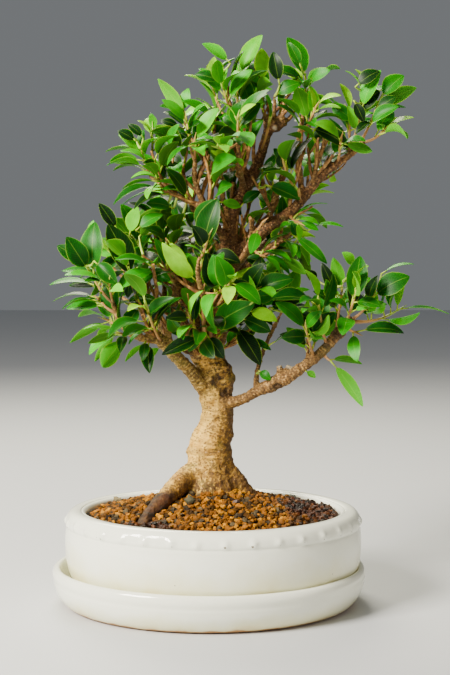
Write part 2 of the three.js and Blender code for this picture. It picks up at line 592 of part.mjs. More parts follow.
// Which of those points each triangle of a leaf joins.
const fan = (centre, ring) => ring.map((a, i) => [centre, a, ring[(i + 1) % ring.length]]);
const LEAF_FACES = [
  ...fan(5, [4, 9, 7, 2, 3, 11, 13]), ...fan(6, [4, 14, 12, 0, 1, 8, 10]),
  [1, 2, 7], [1, 7, 8], [8, 7, 9], [8, 9, 10], [10, 9, 4],
  [0, 11, 3], [0, 12, 11], [12, 13, 11], [12, 14, 13], [14, 4, 13],
];
const LEAF_SEAT = [[0, 3, 2], [0, 2, 1]];
const SIDE_FACES = [[0, 1, 2], [0, 2, 3]];

const middleOf = (points) => points.reduce((sum, p) => sum.add(p), V(0, 0, 0)).divideScalar(points.length);

// Places on a shoot where a leaf can sit: one on each side of each short length, and one on its end.
function leafSeats(shoot) {
  const seats = [];
  const rings = shoot.rings;
  for (let i = 1; i < rings.length - 1; i++) {
    for (let k = 0; k < 4; k++) {
      const next = (k + 1) % 4;
      const corners = [rings[i][k], rings[i][next], rings[i + 1][next], rings[i + 1][k]];
      const foot = middleOf(corners);
      const out = foot.clone().sub(middleOf([...rings[i], ...rings[i + 1]])).normalize();
      seats.push({ ring: i, side: k, corners, foot, out, rise: (i - 1) / (rings.length - 3) });
    }
  }
  const top = rings[rings.length - 1];
  const lowest = Math.min(...top.map((p) => p.z));
  const first = top.findIndex((p) => p.z === lowest);
  const corners = [0, 1, 2, 3].map((k) => top[(first + k) % 4]);
  seats.push({ ring: rings.length - 1, side: first, corners, foot: middleOf(top), out: shoot.axis, rise: 1 });
  return seats;
}

// Ways to set one leaf, best first: on any free seat, to a given tip or out and up from the seat.
function* leafWays(shoot, number, target) {
  const free = shoot.seats.filter((seat) => !seat.leaf);
  const score = (seat) => {
    if (!target) return draw(number, seat.ring, seat.side);
    const arm = target.clone().sub(seat.foot);
    const misfit = Math.abs(arm.length() / LEAF_LENGTH - 1);
    return misfit - OUTWARD_WEIGHT * arm.normalize().dot(seat.out);
  };
  free.sort((a, b) => score(a) - score(b));
  const swing = target ? TARGET_SWING : FREE_SWING;
  for (const turn of TURNS) {
    for (const seat of free.slice(0, target ? TARGET_SEATS : free.length)) {
      for (const roll of ROLLS) {
        const arm = target ? target.clone().sub(seat.foot) : leafArm(shoot, seat, number);
        if (arm.length() > LEAF_LONGEST) arm.setLength(LEAF_LONGEST);
        arm.applyAxisAngle(shoot.axis, THREE.MathUtils.degToRad(turn * swing));
        if (arm.clone().normalize().dot(seat.out) < LEAST_OUTWARD) continue;
        const along = arm.clone().normalize();
        const upper = shoot.axis.clone().addScaledVector(UP, LIGHT_SEEKING)
          .applyAxisAngle(along, THREE.MathUtils.degToRad(roll));
        upper.addScaledVector(along, -upper.dot(along)).normalize();
        const rise = seat.corners[3].clone().sub(seat.corners[0]).normalize();
        if (upper.dot(rise) < LEAST_UPRIGHT) continue;
        yield { seat, tip: seat.foot.clone().add(arm), upper };
      }
    }
  }
}

// A leaf that the table doesn't place stands out low on the shoot, and more upright and shorter near its top.
function leafArm(shoot, seat, number) {
  const chance = (n) => draw(number, seat.ring, seat.side, n);
  const spread = THREE.MathUtils.degToRad(THREE.MathUtils.lerp(SPREAD_LOW, SPREAD_TOP, seat.rise));
  const arm = shoot.axis.clone().multiplyScalar(Math.cos(spread)).addScaledVector(seat.out, Math.sin(spread));
  arm.z -= LEAF_DROOP * chance(1);
  const size = THREE.MathUtils.lerp(SMALLEST_LEAF, LARGEST_LEAF, chance(2));
  return arm.setLength(LEAF_LENGTH * size * (1 - YOUNG_SHORTER * seat.rise));
}

// A shoot and its leaves as one closed mesh: each leaf takes the place of the side of the shoot it sits on.
function shootSolid(shoot) {
  const corners = shoot.rings.flat();
  const points = [...corners];
  const triangles = [[0, 2, 1], [0, 3, 2]];
  const bare = [0, 1, 2, 3].map((k) => [k, (k + 1) % 4, 4 + ((k + 1) % 4), 4 + k].map((j) => corners[j]));
  for (const seat of [...bare.map((four) => ({ corners: four })), ...shoot.seats]) {
    const seatNumbers = seat.corners.map((p) => corners.indexOf(p));
    if (!seat.leaf) {
      triangles.push(...SIDE_FACES.map((face) => face.map((j) => seatNumbers[j])));
      continue;
    }
    const blade = leafPoints(seat.corners, seat.leaf.tip, seat.leaf.upper).slice(4);
    const numbers = [...seatNumbers, ...blade.map((_, j) => points.length + j)];
    points.push(...blade);
    triangles.push(...LEAF_FACES.map((face) => face.map((j) => numbers[j])));
  }
  return solidFrom(points, triangles);
}

const boxesMeet = (a, b) => [0, 1, 2].every((i) => a.min[i] < b.max[i] && b.min[i] < a.max[i]);

const bareWood = wood(0);
const roomyWood = wood(GAP);

// Sprays: each is a piece of its own, with its shoots, leaves and seat on the wood.
function sprays() {
  const placed = [];
  const keep = (spray, solid) => placed.push({ spray, solid, box: solid.boundingBox() });
  const plants = SPRAYS.map((spray) => ({
    name: spray.name,
    shoots: spray.shoots.map(({ to, leaves, tips }) => ({
      from: V(...spray.from), to: V(...to), leaves, tips: tips.map((tip) => V(...tip)),
    })),
  }));
  for (const { name, shoots } of plants) {
    for (const shoot of shoots) {
      shoot.axis = shoot.to.clone().sub(shoot.from).normalize();
      shoot.rings = shootRings(shoot);
      shoot.seats = leafSeats(shoot);
      keep(name, shootSolid(shoot));
    }
  }
  const bladeSolid = ({ seat, tip, upper }, lift, swell) => {
    const corners = seat.corners.map((p) => p.clone().addScaledVector(seat.out, lift));
    return solidFrom(leafPoints(corners, tip, upper, swell), [...LEAF_FACES, ...LEAF_SEAT]);
  };
  const hangsFree = (name, way) => {
    const roomy = bladeSolid(way, GAP, GAP);
    const box = roomy.boundingBox();
    if (!roomy.intersect(bareWood).isEmpty()) return false;
    const thin = bladeSolid(way, GAP, 0);
    return placed.every((other) => !boxesMeet(box, other.box)
      || (other.spray === name ? thin : roomy).intersect(other.solid).isEmpty());
  };
  const most = Math.max(...SPRAYS.flatMap((spray) => spray.shoots.map(({ leaves }) => leaves)));
  for (let round = 0; round < most; round++) {
    plants.forEach(({ name, shoots }, i) => shoots.forEach((shoot, k) => {
      if (round >= shoot.leaves) return;
      for (const way of leafWays(shoot, 10 * i + k, shoot.tips[round])) {
        if (!hangsFree(name, way)) continue;
        way.seat.leaf = way;
        keep(name, bladeSolid(way, GAP, 0));
        break;
      }
    }));
  }
  return plants.map(({ name, shoots }) => {
    const whole = joined(shoots.map(shootSolid));
    return [name, largest(whole.subtract(roomyWood))];
  });
}

const LOOKS = {
  glaze: { color: '#e9e6d8', roughness: 0.18, metalness: 0 },
  soil: { color: '#9a5f2a', roughness: 0.95, metalness: 0 },
  bark: { color: '#9a8058', roughness: 0.85, metalness: 0 },
  leaf: { color: '#3f9a22', roughness: 0.35, metalness: 0 },
  netting: { color: '#1f2421', roughness: 0.6, metalness: 0 },
};

const bonsai = new THREE.Group();

function place(name, solid, look) {
  const mesh = new THREE.Mesh(geometryOf(solid), new THREE.MeshStandardMaterial(LOOKS[look]));
  mesh.name = name;
  bonsai.add(mesh);
}

const soil = soilBlank().subtract(roomyWood).subtract(netting(-1, GAP)).subtract(netting(1, GAP));

place('saucer', saucer(), 'glaze');
place('pot', pot(), 'glaze');
place('drain_netting_left', netting(-1), 'netting');
place('drain_netting_right', netting(1), 'netting');
place('soil', largest(soil), 'soil');
place('trunk', bareWood, 'bark');
for (const [name, solid] of sprays()) place(`spray_${name}`, solid, 'leaf');

export default bonsai;
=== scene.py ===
import math
import random

import bmesh
import bpy
import numpy as np
from mathutils import Matrix, Vector, noise
from mathutils.bvhtree import BVHTree
from mathutils.kdtree import KDTree


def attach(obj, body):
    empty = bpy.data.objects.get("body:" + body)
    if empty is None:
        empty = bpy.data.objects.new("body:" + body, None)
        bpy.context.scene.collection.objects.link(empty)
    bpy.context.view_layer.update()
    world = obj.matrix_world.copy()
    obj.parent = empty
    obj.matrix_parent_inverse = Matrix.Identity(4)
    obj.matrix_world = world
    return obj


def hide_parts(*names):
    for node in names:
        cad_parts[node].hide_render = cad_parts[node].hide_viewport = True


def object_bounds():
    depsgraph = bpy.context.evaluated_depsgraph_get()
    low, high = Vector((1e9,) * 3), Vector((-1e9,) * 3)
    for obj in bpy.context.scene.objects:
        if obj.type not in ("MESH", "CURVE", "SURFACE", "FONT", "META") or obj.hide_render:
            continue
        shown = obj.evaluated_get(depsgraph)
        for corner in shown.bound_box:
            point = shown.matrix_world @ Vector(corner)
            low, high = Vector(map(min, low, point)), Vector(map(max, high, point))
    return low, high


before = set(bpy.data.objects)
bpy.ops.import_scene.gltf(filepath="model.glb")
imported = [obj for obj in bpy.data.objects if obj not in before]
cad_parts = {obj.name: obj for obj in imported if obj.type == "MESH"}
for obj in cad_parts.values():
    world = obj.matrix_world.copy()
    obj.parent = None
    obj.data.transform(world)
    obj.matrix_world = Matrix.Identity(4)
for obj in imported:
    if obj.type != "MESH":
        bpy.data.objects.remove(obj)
cad_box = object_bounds()

# Saucer.
# A shallow dish of white stoneware, thrown thick, pressed oval by hand and dipped in the same glaze as the
# pot. Its foot was wiped, so an uneven line of bare clay shows where it meets the table.
MM = 0.001
OVAL_LESS = 14
OVAL_CORE = 40
SAUCER_SIDES = 240
SAUCER_WALL = [
    (83, 0), (86.6, 1), (90, 4), (92.9, 9), (94.3, 13.6), (94.6, 16), (95.2, 18.6), (95.2, 20.6),
    (94.3, 22.6), (92.6, 23.4), (91, 22.9), (90.2, 20.5), (89.4, 15), (86.8, 9), (81.5, 5.4), (76, 5),
]
GLAZE_WHITE = "#f6f8e6"
GLAZE_CREAM = "#eceac2"
GLAZE_YELLOW = "#dfc988"
GLAZE_SPECK = "#6d6248"
BARE_CLAY = "#a97f4f"
RUN = 0.022
SPECK_SPACING = 0.009
CLAY_LINE = 0.0022
SMOOTH_ANGLE = math.radians(50)


def linear(code):
    """A colour given as sRGB hex, as the linear numbers that a shader takes."""
    channels = [int(code[i:i + 2], 16) / 255 for i in (1, 3, 5)]
    return (*(c / 12.92 if c <= 0.04045 else ((c + 0.055) / 1.055) ** 2.4 for c in channels), 1)


def wire(node, sockets):
    """Fills a node's inputs, given in order, by place or by name: each with a value, a socket, or a node that
    leads with the output meant."""
    for name, value in sockets.items() if isinstance(sockets, dict) else enumerate(sockets):
        if isinstance(value, bpy.types.Node):
            value = next(output for output in value.outputs if output.enabled)
        if isinstance(value, bpy.types.NodeSocket):
            node.id_data.links.new(value, node.inputs[name])
        else:
            node.inputs[name].default_value = value


def add(tree, kind, sockets=(), **settings):
    """Adds a shader node with its settings and its inputs."""
    made = tree.nodes.new("ShaderNode" + kind)
    for name, value in settings.items():
        if name == "stops":
            elements = made.color_ramp.elements
            elements.remove(elements[1])
            elements[0].position, elements[0].color = value[0][0], linear(value[0][1])
            for place, code in value[1:]:
                elements.new(place).color = linear(code)
        else:
            setattr(made, name, value)
    wire(made, sockets)
    return made


def material(name, **surface):
    """A new material whose shader has these even values, with its node tree and its shader."""
    made = bpy.data.materials.new(name)
    made.use_nodes = True
    shader = made.node_tree.nodes["Principled BSDF"]
    for socket, value in surface.items():
        shader.inputs[socket.replace("_", " ")].default_value = value
    return made, made.node_tree, shader


def only(*pieces):
    """Selects these pieces and nothing else, and makes the first of them the active one."""
    bpy.ops.object.select_all(action="DESELECT")
    for piece in pieces:
        piece.select_set(True)
    bpy.context.view_layer.objects.active = pieces[0]


def dress(piece, look):
    """Gives a piece one material and takes away any other."""
    piece.data.materials.clear()
    piece.data.materials.append(look)


def link(name, mesh):
    """A new object in the scene, with its mesh, curve, lamp or camera."""
    piece = bpy.data.objects.new(name, mesh)
    bpy.context.scene.collection.objects.link(piece)
    return piece


def flowing(points, steps):
    """A smooth line through points, with this many steps between each two."""
    knots = [Vector((x, 0, z)) * MM for x, z in points]
    line = []
    for i in range(len(knots) - 1):
        a, b, c, d = (knots[min(max(j, 0), len(knots) - 1)] for j in (i - 1, i, i + 1, i + 2))
        for k in range(steps):
            t = k / steps
            line.append(b + 0.5 * t * (c - a + t * (2 * a - 5 * b + 4 * c - d + t * (3 * b - a - 3 * c + d))))
    return [*line, knots[-1]]


def thrown(name, line, sides):
    """Spins a profile round the upright axis into one closed body, and smooths it."""
    mesh = bpy.data.meshes.new(name)
    mesh.from_pydata(line, [(i, i + 1) for i in range(len(line) - 1)], [])
    piece = link(name, mesh)
    only(piece)
    bpy.ops.object.mode_set(mode="EDIT")
    bpy.ops.mesh.select_all(action="SELECT")
    bpy.ops.mesh.spin(steps=sides, angle=2 * math.pi, center=(0, 0, 0), axis=(0, 0, 1))
    bpy.ops.mesh.select_all(action="SELECT")
    bpy.ops.mesh.remove_doubles(threshold=0.01 * MM)
    bpy.ops.mesh.normals_make_consistent(inside=False)
    bpy.ops.object.mode_set(mode="OBJECT")
    bpy.ops.object.shade_smooth_by_angle(angle=SMOOTH_ANGLE)
    return piece


def press_oval(piece, middle):
    """Presses a round body oval: each outline is a fixed amount less deep than it is wide."""
    for v in piece.data.vertices:
        out = max(math.hypot(v.co.x, v.co.y), OVAL_CORE * MM)
        v.co.y *= 1 - OVAL_LESS * MM / out
        v.co.x += middle


def hand_wave(piece, wave, amount, still_below):
    """The slow unevenness of a wall shaped by hand. The foot stays flat."""
    for v in piece.data.vertices:
        free = min(1, max(0, (v.co.z - still_below) / (6 * MM)))
        v.co += free * amount * noise.noise_vector(v.co / wave)


def glaze(name, low, high, clay_line, stud_spots=None):
    """Glossy tin-white stoneware glaze: thick and white above, thinner and creamier where it ran off the
    foot, with iron specks, and bare clay below a wiped line."""
    made, tree, shader = material(name, IOR=1.5, Metallic=0.0, Coat_Weight=0.25, Coat_Roughness=0.04)
    place = add(tree, "TexCoord").outputs["Object"]
    axes = add(tree, "SeparateXYZ", {"Vector": place})
    rise = add(tree, "MapRange", [axes.outputs["Z"], low, high])
    drift = add(tree, "TexNoise", {"Vector": place, "Scale": 1 / RUN, "Detail": 3.0})
    thick = add(tree, "Math", [drift, 0.9, rise], operation="MULTIPLY_ADD")
    level = add(tree, "Math", [thick, 0.45], operation="SUBTRACT")
    tint = add(tree, "ValToRGB", {"Fac": level},
               stops=[(0, GLAZE_YELLOW), (0.3, GLAZE_CREAM), (0.75, GLAZE_WHITE)])
    cells = add(tree, "TexVoronoi", {"Vector": place, "Scale": 1 / SPECK_SPACING, "Randomness": 1.0})
    size = add(tree, "SeparateColor", {"Color": cells.outputs["Color"]})
    speck_edge = add(tree, "Math", [size, 0.055, -0.02], operation="MULTIPLY_ADD")
    speck = add(tree, "Math", [cells, speck_edge], operation="LESS_THAN")
    marked = stud_spots(tree, axes, speck) if stud_spots else speck
    coloured = add(tree, "Mix", {0: marked, 6: tint, 7: linear(GLAZE_SPECK)}, data_type="RGBA")
    ragged = add(tree, "TexNoise", {"Vector": place, "Scale": 1 / 0.012, "Detail": 2.0})
    edge = add(tree, "Math", [ragged, 2.4 * clay_line, axes.outputs["Z"]], operation="MULTIPLY_ADD")
    bare = add(tree, "MapRange", [edge, 2.3 * clay_line, 1.9 * clay_line])
    whole = add(tree, "Mix", {0: bare, 6: coloured, 7: linear(BARE_CLAY)}, data_type="RGBA")
    wire(shader, {"Base Color": whole})
    rough = add(tree, "MapRange", [bare, 0, 1, 0.13, 0.8])
    wire(shader, {"Roughness": rough})
    swell = add(tree, "TexNoise", {"Vector": place, "Scale": 1 / 0.006, "Detail": 2.0})
    bump = add(tree, "Bump", {"Height": swell, "Strength": 0.12, "Distance": 0.4 * MM})
    wire(shader, {"Normal": bump})
    return made


noise.seed_set(4)
saucer_line = [Vector((0, 0, 0)), *flowing(SAUCER_WALL, 5), Vector((0, 0, 5 * MM))]
saucer = thrown("saucer_glazed", saucer_line, SAUCER_SIDES)
press_oval(saucer, 0)
hand_wave(saucer, 0.045, 0.5 * MM, 1 * MM)
dress(saucer, glaze("white_stoneware_glaze_saucer", 0.0, 0.016, CLAY_LINE))
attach(saucer, "root")
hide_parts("saucer")

# Pot.
# A drum of the same stoneware, thrown thick, with a lip that turns in over a raised band. Balls of clay were
# pressed into the band before glazing, and the glaze ran over them. Just below some of them a small dark spot
# is painted.
POT_SIDES = 432
POT_MIDDLE = 2.5
POT_WALL = [
    (73, 5.35), (74.2, 7.2), (78.4, 9.6), (83.4, 13.4), (87, 19), (88.9, 26), (89.8, 34), (89.9, 41),
    (89.5, 46), (89.1, 47.8), (89.4, 48.9), (89.5, 50.2), (89.2, 52.6), (88.2, 55), (86.4, 56.8),
    (84.2, 57.55), (82, 57.6), (80.6, 57.3), (80.1, 56.75), (79.5, 57), (78.4, 56.6), (77.4, 55.2),
    (77.2, 53), (77.8, 50), (80.2, 46), (82.8, 41), (83, 34), (82.2, 26), (78, 18), (70, 14.7),
]
STUDS = 36
STUD_PITCH = 15.5
STUD_HEIGHT = 51.4
STUD_PROUD = 1.5
STUD_SPREAD = 2.1
STUD_REACH = 7
STUD_INSIDE = 84
FOOT_GAP = 26
DRAIN_X = 34
DRAIN_RADIUS = 7


def stud_foot_spots(tree, axes, marked):
    """A small dark spot just below some of the studs, besides the specks."""
    across = add(tree, "Math", [axes.outputs["X"], POT_MIDDLE * MM], operation="SUBTRACT")
    deep = add(tree, "Math", [axes.outputs["Y"], 1.185], operation="MULTIPLY")
    angle = add(tree, "Math", [deep, across], operation="ARCTAN2")
    turn = add(tree, "Math", [angle, STUDS / (2 * math.pi), STUDS], operation="MULTIPLY_ADD")
    number = add(tree, "Math", [turn], operation="FLOOR")
    within = add(tree, "Math", [turn], operation="FRACT")
    chance = add(tree, "TexWhiteNoise", {"W": number}, noise_dimensions="1D")
    pick = add(tree, "SeparateColor", {"Color": chance.outputs["Color"]})
    aside = add(tree, "Math", [pick, 0.2, 0.4], operation="MULTIPLY_ADD")
    off = add(tree, "Math", [within, aside], operation="SUBTRACT")
    off_metres = add(tree, "Math", [off, STUD_PITCH * MM], operation="MULTIPLY")
    drop = add(tree, "Math", [axes.outputs["Z"], (STUD_HEIGHT - 1.6) * MM], operation="SUBTRACT")
    flat = add(tree, "CombineXYZ", {"X": off_metres, "Y": drop})
    reach = add(tree, "VectorMath", [flat], operation="LENGTH")
    largest = add(tree, "MapRange", [pick.outputs[1], 0.12, 1, 0, 1.4 * MM])
    ragged = add(tree, "TexNoise", {"Vector": flat, "Scale": 1 / (0.7 * MM)})
    foot_spot_size = add(tree, "Math", [largest, ragged], operation="MULTIPLY")
    foot_spot = add(tree, "Math", [reach, foot_spot_size], operation="LESS_THAN")
    return add(tree, "Math", [foot_spot, marked], operation="MAXIMUM")


def cut(piece, tool):
    """Cuts a tool's shape out of a piece, and takes the tool away."""
    only(piece)
    cutter = piece.modifiers.new("cut", "BOOLEAN")
    cutter.operation = "DIFFERENCE"
    cutter.solver = "EXACT"
    cutter.object = tool
    bpy.ops.object.modifier_apply(modifier="cut")
    bpy.data.objects.remove(tool)


under_pot = [Vector((x, 0, z)) * MM for x, z in ((0, 8.5), (61, 8.5), (62, 5.35))]
pot = thrown("pot_glazed", [*under_pot, *flowing(POT_WALL, 3), Vector((0, 0, 14.5 * MM))], POT_SIDES)
for v in pot.data.vertices:
    out = math.hypot(v.co.x, v.co.y)
    if out < STUD_INSIDE * MM or abs(v.co.z - STUD_HEIGHT * MM) > STUD_REACH * MM:
        continue
    turn = math.atan2(v.co.y, v.co.x) * STUDS / (2 * math.pi)
    stud = math.floor(turn)
    wander = noise.noise(Vector((stud, 3.7, 0)))
    aside = (turn - stud - 0.5) * STUD_PITCH + 1.6 * wander
    away = math.hypot(aside, (v.co.z / MM - STUD_HEIGHT) * 0.9 + 0.8 * wander)
    size = 0.75 + 0.6 * noise.noise(Vector((stud, 8.1, 0)))
    wider = 1 + STUD_PROUD * size * math.exp(-((away / STUD_SPREAD) ** 2)) * MM / out
    v.co *= Vector((wider, wider, 1))
press_oval(pot, POT_MIDDLE * MM)
hand_wave(pot, 0.06, 0.55 * MM, 9 * MM)
for turn in (0, math.pi / 2):
    bpy.ops.mesh.primitive_cube_add(size=1, rotation=(0, 0, turn), scale=(0.36, FOOT_GAP * MM, 6.3 * MM))
    notch = bpy.context.object
    notch.location = (POT_MIDDLE * MM, 0, 5.35 * MM)
    cut(pot, notch)
for side in (-1, 1):
    bpy.ops.mesh.primitive_cylinder_add(vertices=48, radius=DRAIN_RADIUS * MM, depth=0.03,
                                        location=((POT_MIDDLE + side * DRAIN_X) * MM, 0, 11 * MM))
    cut(pot, bpy.context.object)
only(pot)
bpy.ops.object.shade_smooth_by_angle(angle=SMOOTH_ANGLE)
dress(pot, glaze("white_stoneware_glaze_pot", 0.008, 0.05, 0.0, stud_spots=stud_foot_spots))
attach(pot, "root")
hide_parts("pot")

# Netting over the drain holes.
# Two discs cut from a sheet of woven black polyethylene, laid on the pot's floor to hold the soil in.
# Black plastic, half matt, with strands of slightly uneven tone.
netting, tree, shader = material("black_polyethylene", IOR=1.5, Metallic=0.0, Roughness=0.55)
strand = add(tree, "TexNoise", {"Vector": add(tree, "TexCoord").outputs["Object"], "Scale": 1 / (0.5 * MM)})
dye = add(tree, "ValToRGB", {"Fac": strand}, stops=[(0.3, "#121513"), (0.7, "#23282a")])
wire(shader, {"Base Color": dye})
for node in ("drain_netting_left", "drain_netting_right"):
    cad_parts[node].material_slots[0].material = netting

# Soil.
# Fine crumbs of baked clay and lava fill the pot. The bed under the loose top layer is its damp mass, painted
# nearly black as the shade in the gaps between the loose crumbs.
CRUMB = 1.1 * MM
# Damp baked clay is dull and dark; the bed is painted nearly black, browner on its crumbs and darkest in the
# gaps between them, as painted shade.
shaded_soil_bed, tree, shader = material("damp_clay_bed_painted_shade", IOR=1.45, Metallic=0.0, Roughness=0.9)
place = add(tree, "TexCoord").outputs["Object"]
crumbs = add(tree, "TexVoronoi", {"Vector": place, "Scale": 1 / (2 * CRUMB)})
dark = add(tree, "ValToRGB", {"Fac": crumbs}, stops=[(0.1, "#4a2b11"), (0.6, "#1c1008")])
wire(shader, {"Base Color": dark})
dents = add(tree, "Bump", {"Height": crumbs, "Strength": 0.8, "Distance": 1 * MM}, invert=True)
wire(shader, {"Normal": dents})
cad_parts["soil"].material_slots[0].material = shaded_soil_bed

# Trunk, roots and branches.
# One living piece of fig wood with thin bark: straw-coloured and finely wrinkled low down, dark with pale
# pores on the limbs of the crown, and tan on the twigs. Old cuts have left a burl, a hollow and some stubs.
TRUNK = [
    (2, 8, 44, 14), (2, 8, 55, 19.5), (1.5, 7.5, 63, 20), (1, 7.5, 70, 18), (0.5, 8, 77, 16),
    (0.5, 8, 84, 14.4), (0.5, 8, 91, 13.7), (1, 8, 97, 12.8), (3, 8, 103, 11.5), (4.5, 8, 110, 10.2),
    (5, 8, 118, 9.8), (4, 8, 125, 10.2), (3.5, 8, 132, 10.4), (3, 8, 140, 9.6), (2, 8, 147, 8.3),
    (2, 8, 156, 7.4), (6, 7, 170, 7), (11, 6, 188, 6.5), (13.5, 6, 203, 6.1), (13, 5.5, 218, 5.4),
    (13.2, 5, 231, 4.8), (15.8, 5, 242, 4.3), (21.5, 5, 251.5, 3.9), (26.5, 5, 260, 3.5),
    (30.3, 5, 268.7, 3.1), (33, 4, 277, 2.9), (35, 2, 284, 2.9), (37.5, 0, 289, 3),
]
ROOTS = [
    [(-2, 6, 82, 9), (-14, -2, 76, 7.4), (-22, -12, 70, 6.2), (-31, -24, 62, 5.4), (-36.5, -34, 56.5, 5),
     (-40, -44, 48, 4)],
    [(6, 6, 82, 8), (17, 5, 72, 6.6), (24, 5, 64.5, 5), (32, 7, 56, 3.4)],
    [(4, 2, 76, 8), (4, -6, 63, 7), (5, -12, 54, 5)],
    [(0, 14, 78, 8), (-4, 28, 66, 6), (-8, 38, 58, 4.2), (-10, 46, 51, 3)],
    [(8, 12, 74, 8), (20, 24, 64, 5), (30, 34, 55, 3.4)],
    [(-6, 12, 76, 8), (-21, 22, 65, 5.4), (-33, 30, 55, 3.6)],
]
BRANCHES = [
    [(-2, 5, 129, 5.3), (-11, -2, 141, 4.1), (-18.5, -8, 149.5, 3.8), (-28, -14, 160, 3.6),
     (-37, -18, 170, 3.2)],
    [(1, 7, 143, 7.6), (-5, 5, 151, 6.9), (-8.5, 4, 158, 5.6), (-9, 4, 165, 4.2), (-9, 3, 172, 3.2),
     (-12, 2, 180, 2.8), (-16, 1, 188, 2.4), (-19, 0, 197, 2), (-21, -1, 207, 1.6)],
    [(-18.5, -4, 156, 1.9), (-11.6, -1.5, 152.4, 1.5), (-5, 0, 149, 1.9)],
    [(-29, -15, 161, 3), (-44, -20, 164, 1.9), (-52, -24, 172, 1.6), (-56, -26, 184, 1.5)],
    [(-35, -17, 168, 3), (-29, -6, 179, 2.1), (-27, 2, 190, 1.7), (-28, 8, 204, 1.4)],
    [(-21, -8, 154, 2.8), (-31, 18, 168, 2), (-43, 34, 183, 1.6), (-49, 42, 194, 1.3)],
    [(6, 6, 121, 5), (14.3, 2, 122.2, 3.7), (21.4, -1, 124.7, 3.1), (28.4, -4, 129, 3.3),
     (35.4, -7, 132.8, 4), (42.4, -10, 136.6, 4.6), (49.3, -12, 140.4, 4), (56, -13, 145, 3.3),
     (62.3, -14, 149.6, 3.1), (68.3, -14, 155, 3.1), (75, -14, 163, 3.3), (83, -14, 172, 2.8)],
    [(28.6, -5, 130, 2.2), (28.6, -2, 137, 1.7), (31, 3, 148, 1.5), (36, 8, 160, 1.4), (43, 12, 174, 1.3)],
    [(13, 6, 205, 5), (22, 4.5, 216, 4.3), (30, 2, 224.2, 3.8), (41, -1, 231.5, 3.6),
     (51, -2.5, 239.5, 3.3), (57, -3, 246, 3), (69, -2, 260, 2.5), (77, -2, 266, 2.4), (84, -2, 271, 2.1),
     (93, -3, 279, 1.6)],
    [(55, -3, 243, 2.3), (55, -2, 256, 1.9), (53, 0, 274, 1.6), (56, 2, 292, 1.4), (58, 4, 306, 1.2)],
    [(49, -3, 237, 2.6), (56, 18, 245, 1.8), (64, 34, 255, 1.3)],
    [(14, 5, 213, 3.4), (5, -4, 228, 2.4), (-3, -10, 242, 2.1), (-8, -14, 256, 1.7), (-8, -16, 268, 1.3)],
    [(1, -7, 236, 2.2), (1, -6, 253, 1.7), (4, -5, 267, 1.5), (3, -5, 287, 1.3)],
    [(-2, -9, 240, 2), (-14, -6, 244, 1.6), (-26, 0, 252, 1.4), (-36, 4, 259, 1.2)],
    [(22, 6, 253, 2.4), (20, 2, 272, 1.7), (16, 0, 293, 1.4)],
    [(7, 9, 168, 3.4), (-3, 32, 193, 2.2), (-16, 50, 211, 1.7), (-25, 60, 224, 1.3)],
    [(13, 7, 198, 3.4), (27, 32, 211, 2.2), (40, 50, 224, 1.7), (48, 60, 231, 1.2)],
    [(15, 7, 239, 2.7), (14, 28, 264, 1.9), (11, 42, 284, 1.5), (10, 48, 298, 1.2)],
    [(3, 10, 152, 3.4), (11, 34, 164, 2.2), (23, 55, 176, 1.6)],
    [(6, 5, 166, 2.9), (-2, -18, 185, 2), (-6, -36, 202, 1.5), (-5, -44, 210, 1.2)],
    [(13, 5, 201, 2.9), (22, -18, 213, 2), (25, -34, 225, 1.5), (24, -44, 233, 1.2)],
    [(21, 5, 250, 2.3), (18, -18, 264, 1.6), (17, -32, 276, 1.3)],
    [(12, 6, 196, 3), (24, 5, 205, 2.2), (36, 5, 216, 1.9), (47, 6, 222, 1.6), (56, 7, 231, 1.3)],
    [(12, 4, 210, 2.6), (0, 2, 222, 2), (-9, 0, 238, 1.7), (-14, -1, 252, 1.4), (-16, -2, 266, 1.2)],
    [(13, 4, 224, 2.2), (10, 0, 238, 1.7), (8, -4, 250, 1.5), (10, -6, 262, 1.2)],
    [(36, 2, 228, 2.2), (38, 1, 242, 1.7), (43, 2, 254, 1.5), (44, 4, 268, 1.3)],
    [(62, -3, 251, 2), (64, -5, 264, 1.6), (68, -6, 276, 1.4), (70, -6, 288, 1.2)],
    [(-22, -11, 153, 2.6), (-24, -14, 168, 1.8), (-20, -17, 180, 1.5), (-19, -18, 194, 1.3)],
    [(2, 4, 154, 3), (-7, -4, 166, 2.1), (-11, -9, 180, 1.7), (-9, -12, 194, 1.4)],
    [(42.4, -10, 139, 2.2), (42.2, -10.6, 145.6, 1.5)], [(46.4, -10.5, 140.6, 2.3), (48, -11, 145.6, 1.7)],
    [(58, -13, 147, 1.4), (59, -12, 155, 1.1), (58.4, -11, 162, 1)],
    [(37.5, 0, 288, 2.2), (33, -2, 296, 1.3), (31, -3, 305, 1)],
    [(38, 0, 289, 2), (39, -3, 298, 1.2), (39, -4, 306, 1)],
    [(39, 0, 289, 2), (44, -1, 296, 1.3), (45, -2, 304, 1)],
    [(39, 0, 289, 2), (48, 1, 293, 1.4), (52, 1, 299, 1)],
    [(38, 0, 289, 2), (36, 3, 298, 1.3), (35, 5, 308, 1)],
]
LUMPS = [
    (7.5, 5, 141.5, 6.6), (9.6, 5, 136, 6.4), (9.5, 5.5, 130, 5.4), (-12.6, 8, 90.6, 2.4),
    (13.4, 6, 101.5, 1.8), (44, -10.5, 138.6, 4.6), (37.5, -9, 132, 3.4), (40, -1, 289, 4.4),
    (43.5, -2, 291, 3.6), (37, 0, 293, 3.2), (-4, 0, 133, 3.2), (9, 12, 124, 4), (78, -13, 166, 4.2),
    (83, -14, 172, 3.4),
]
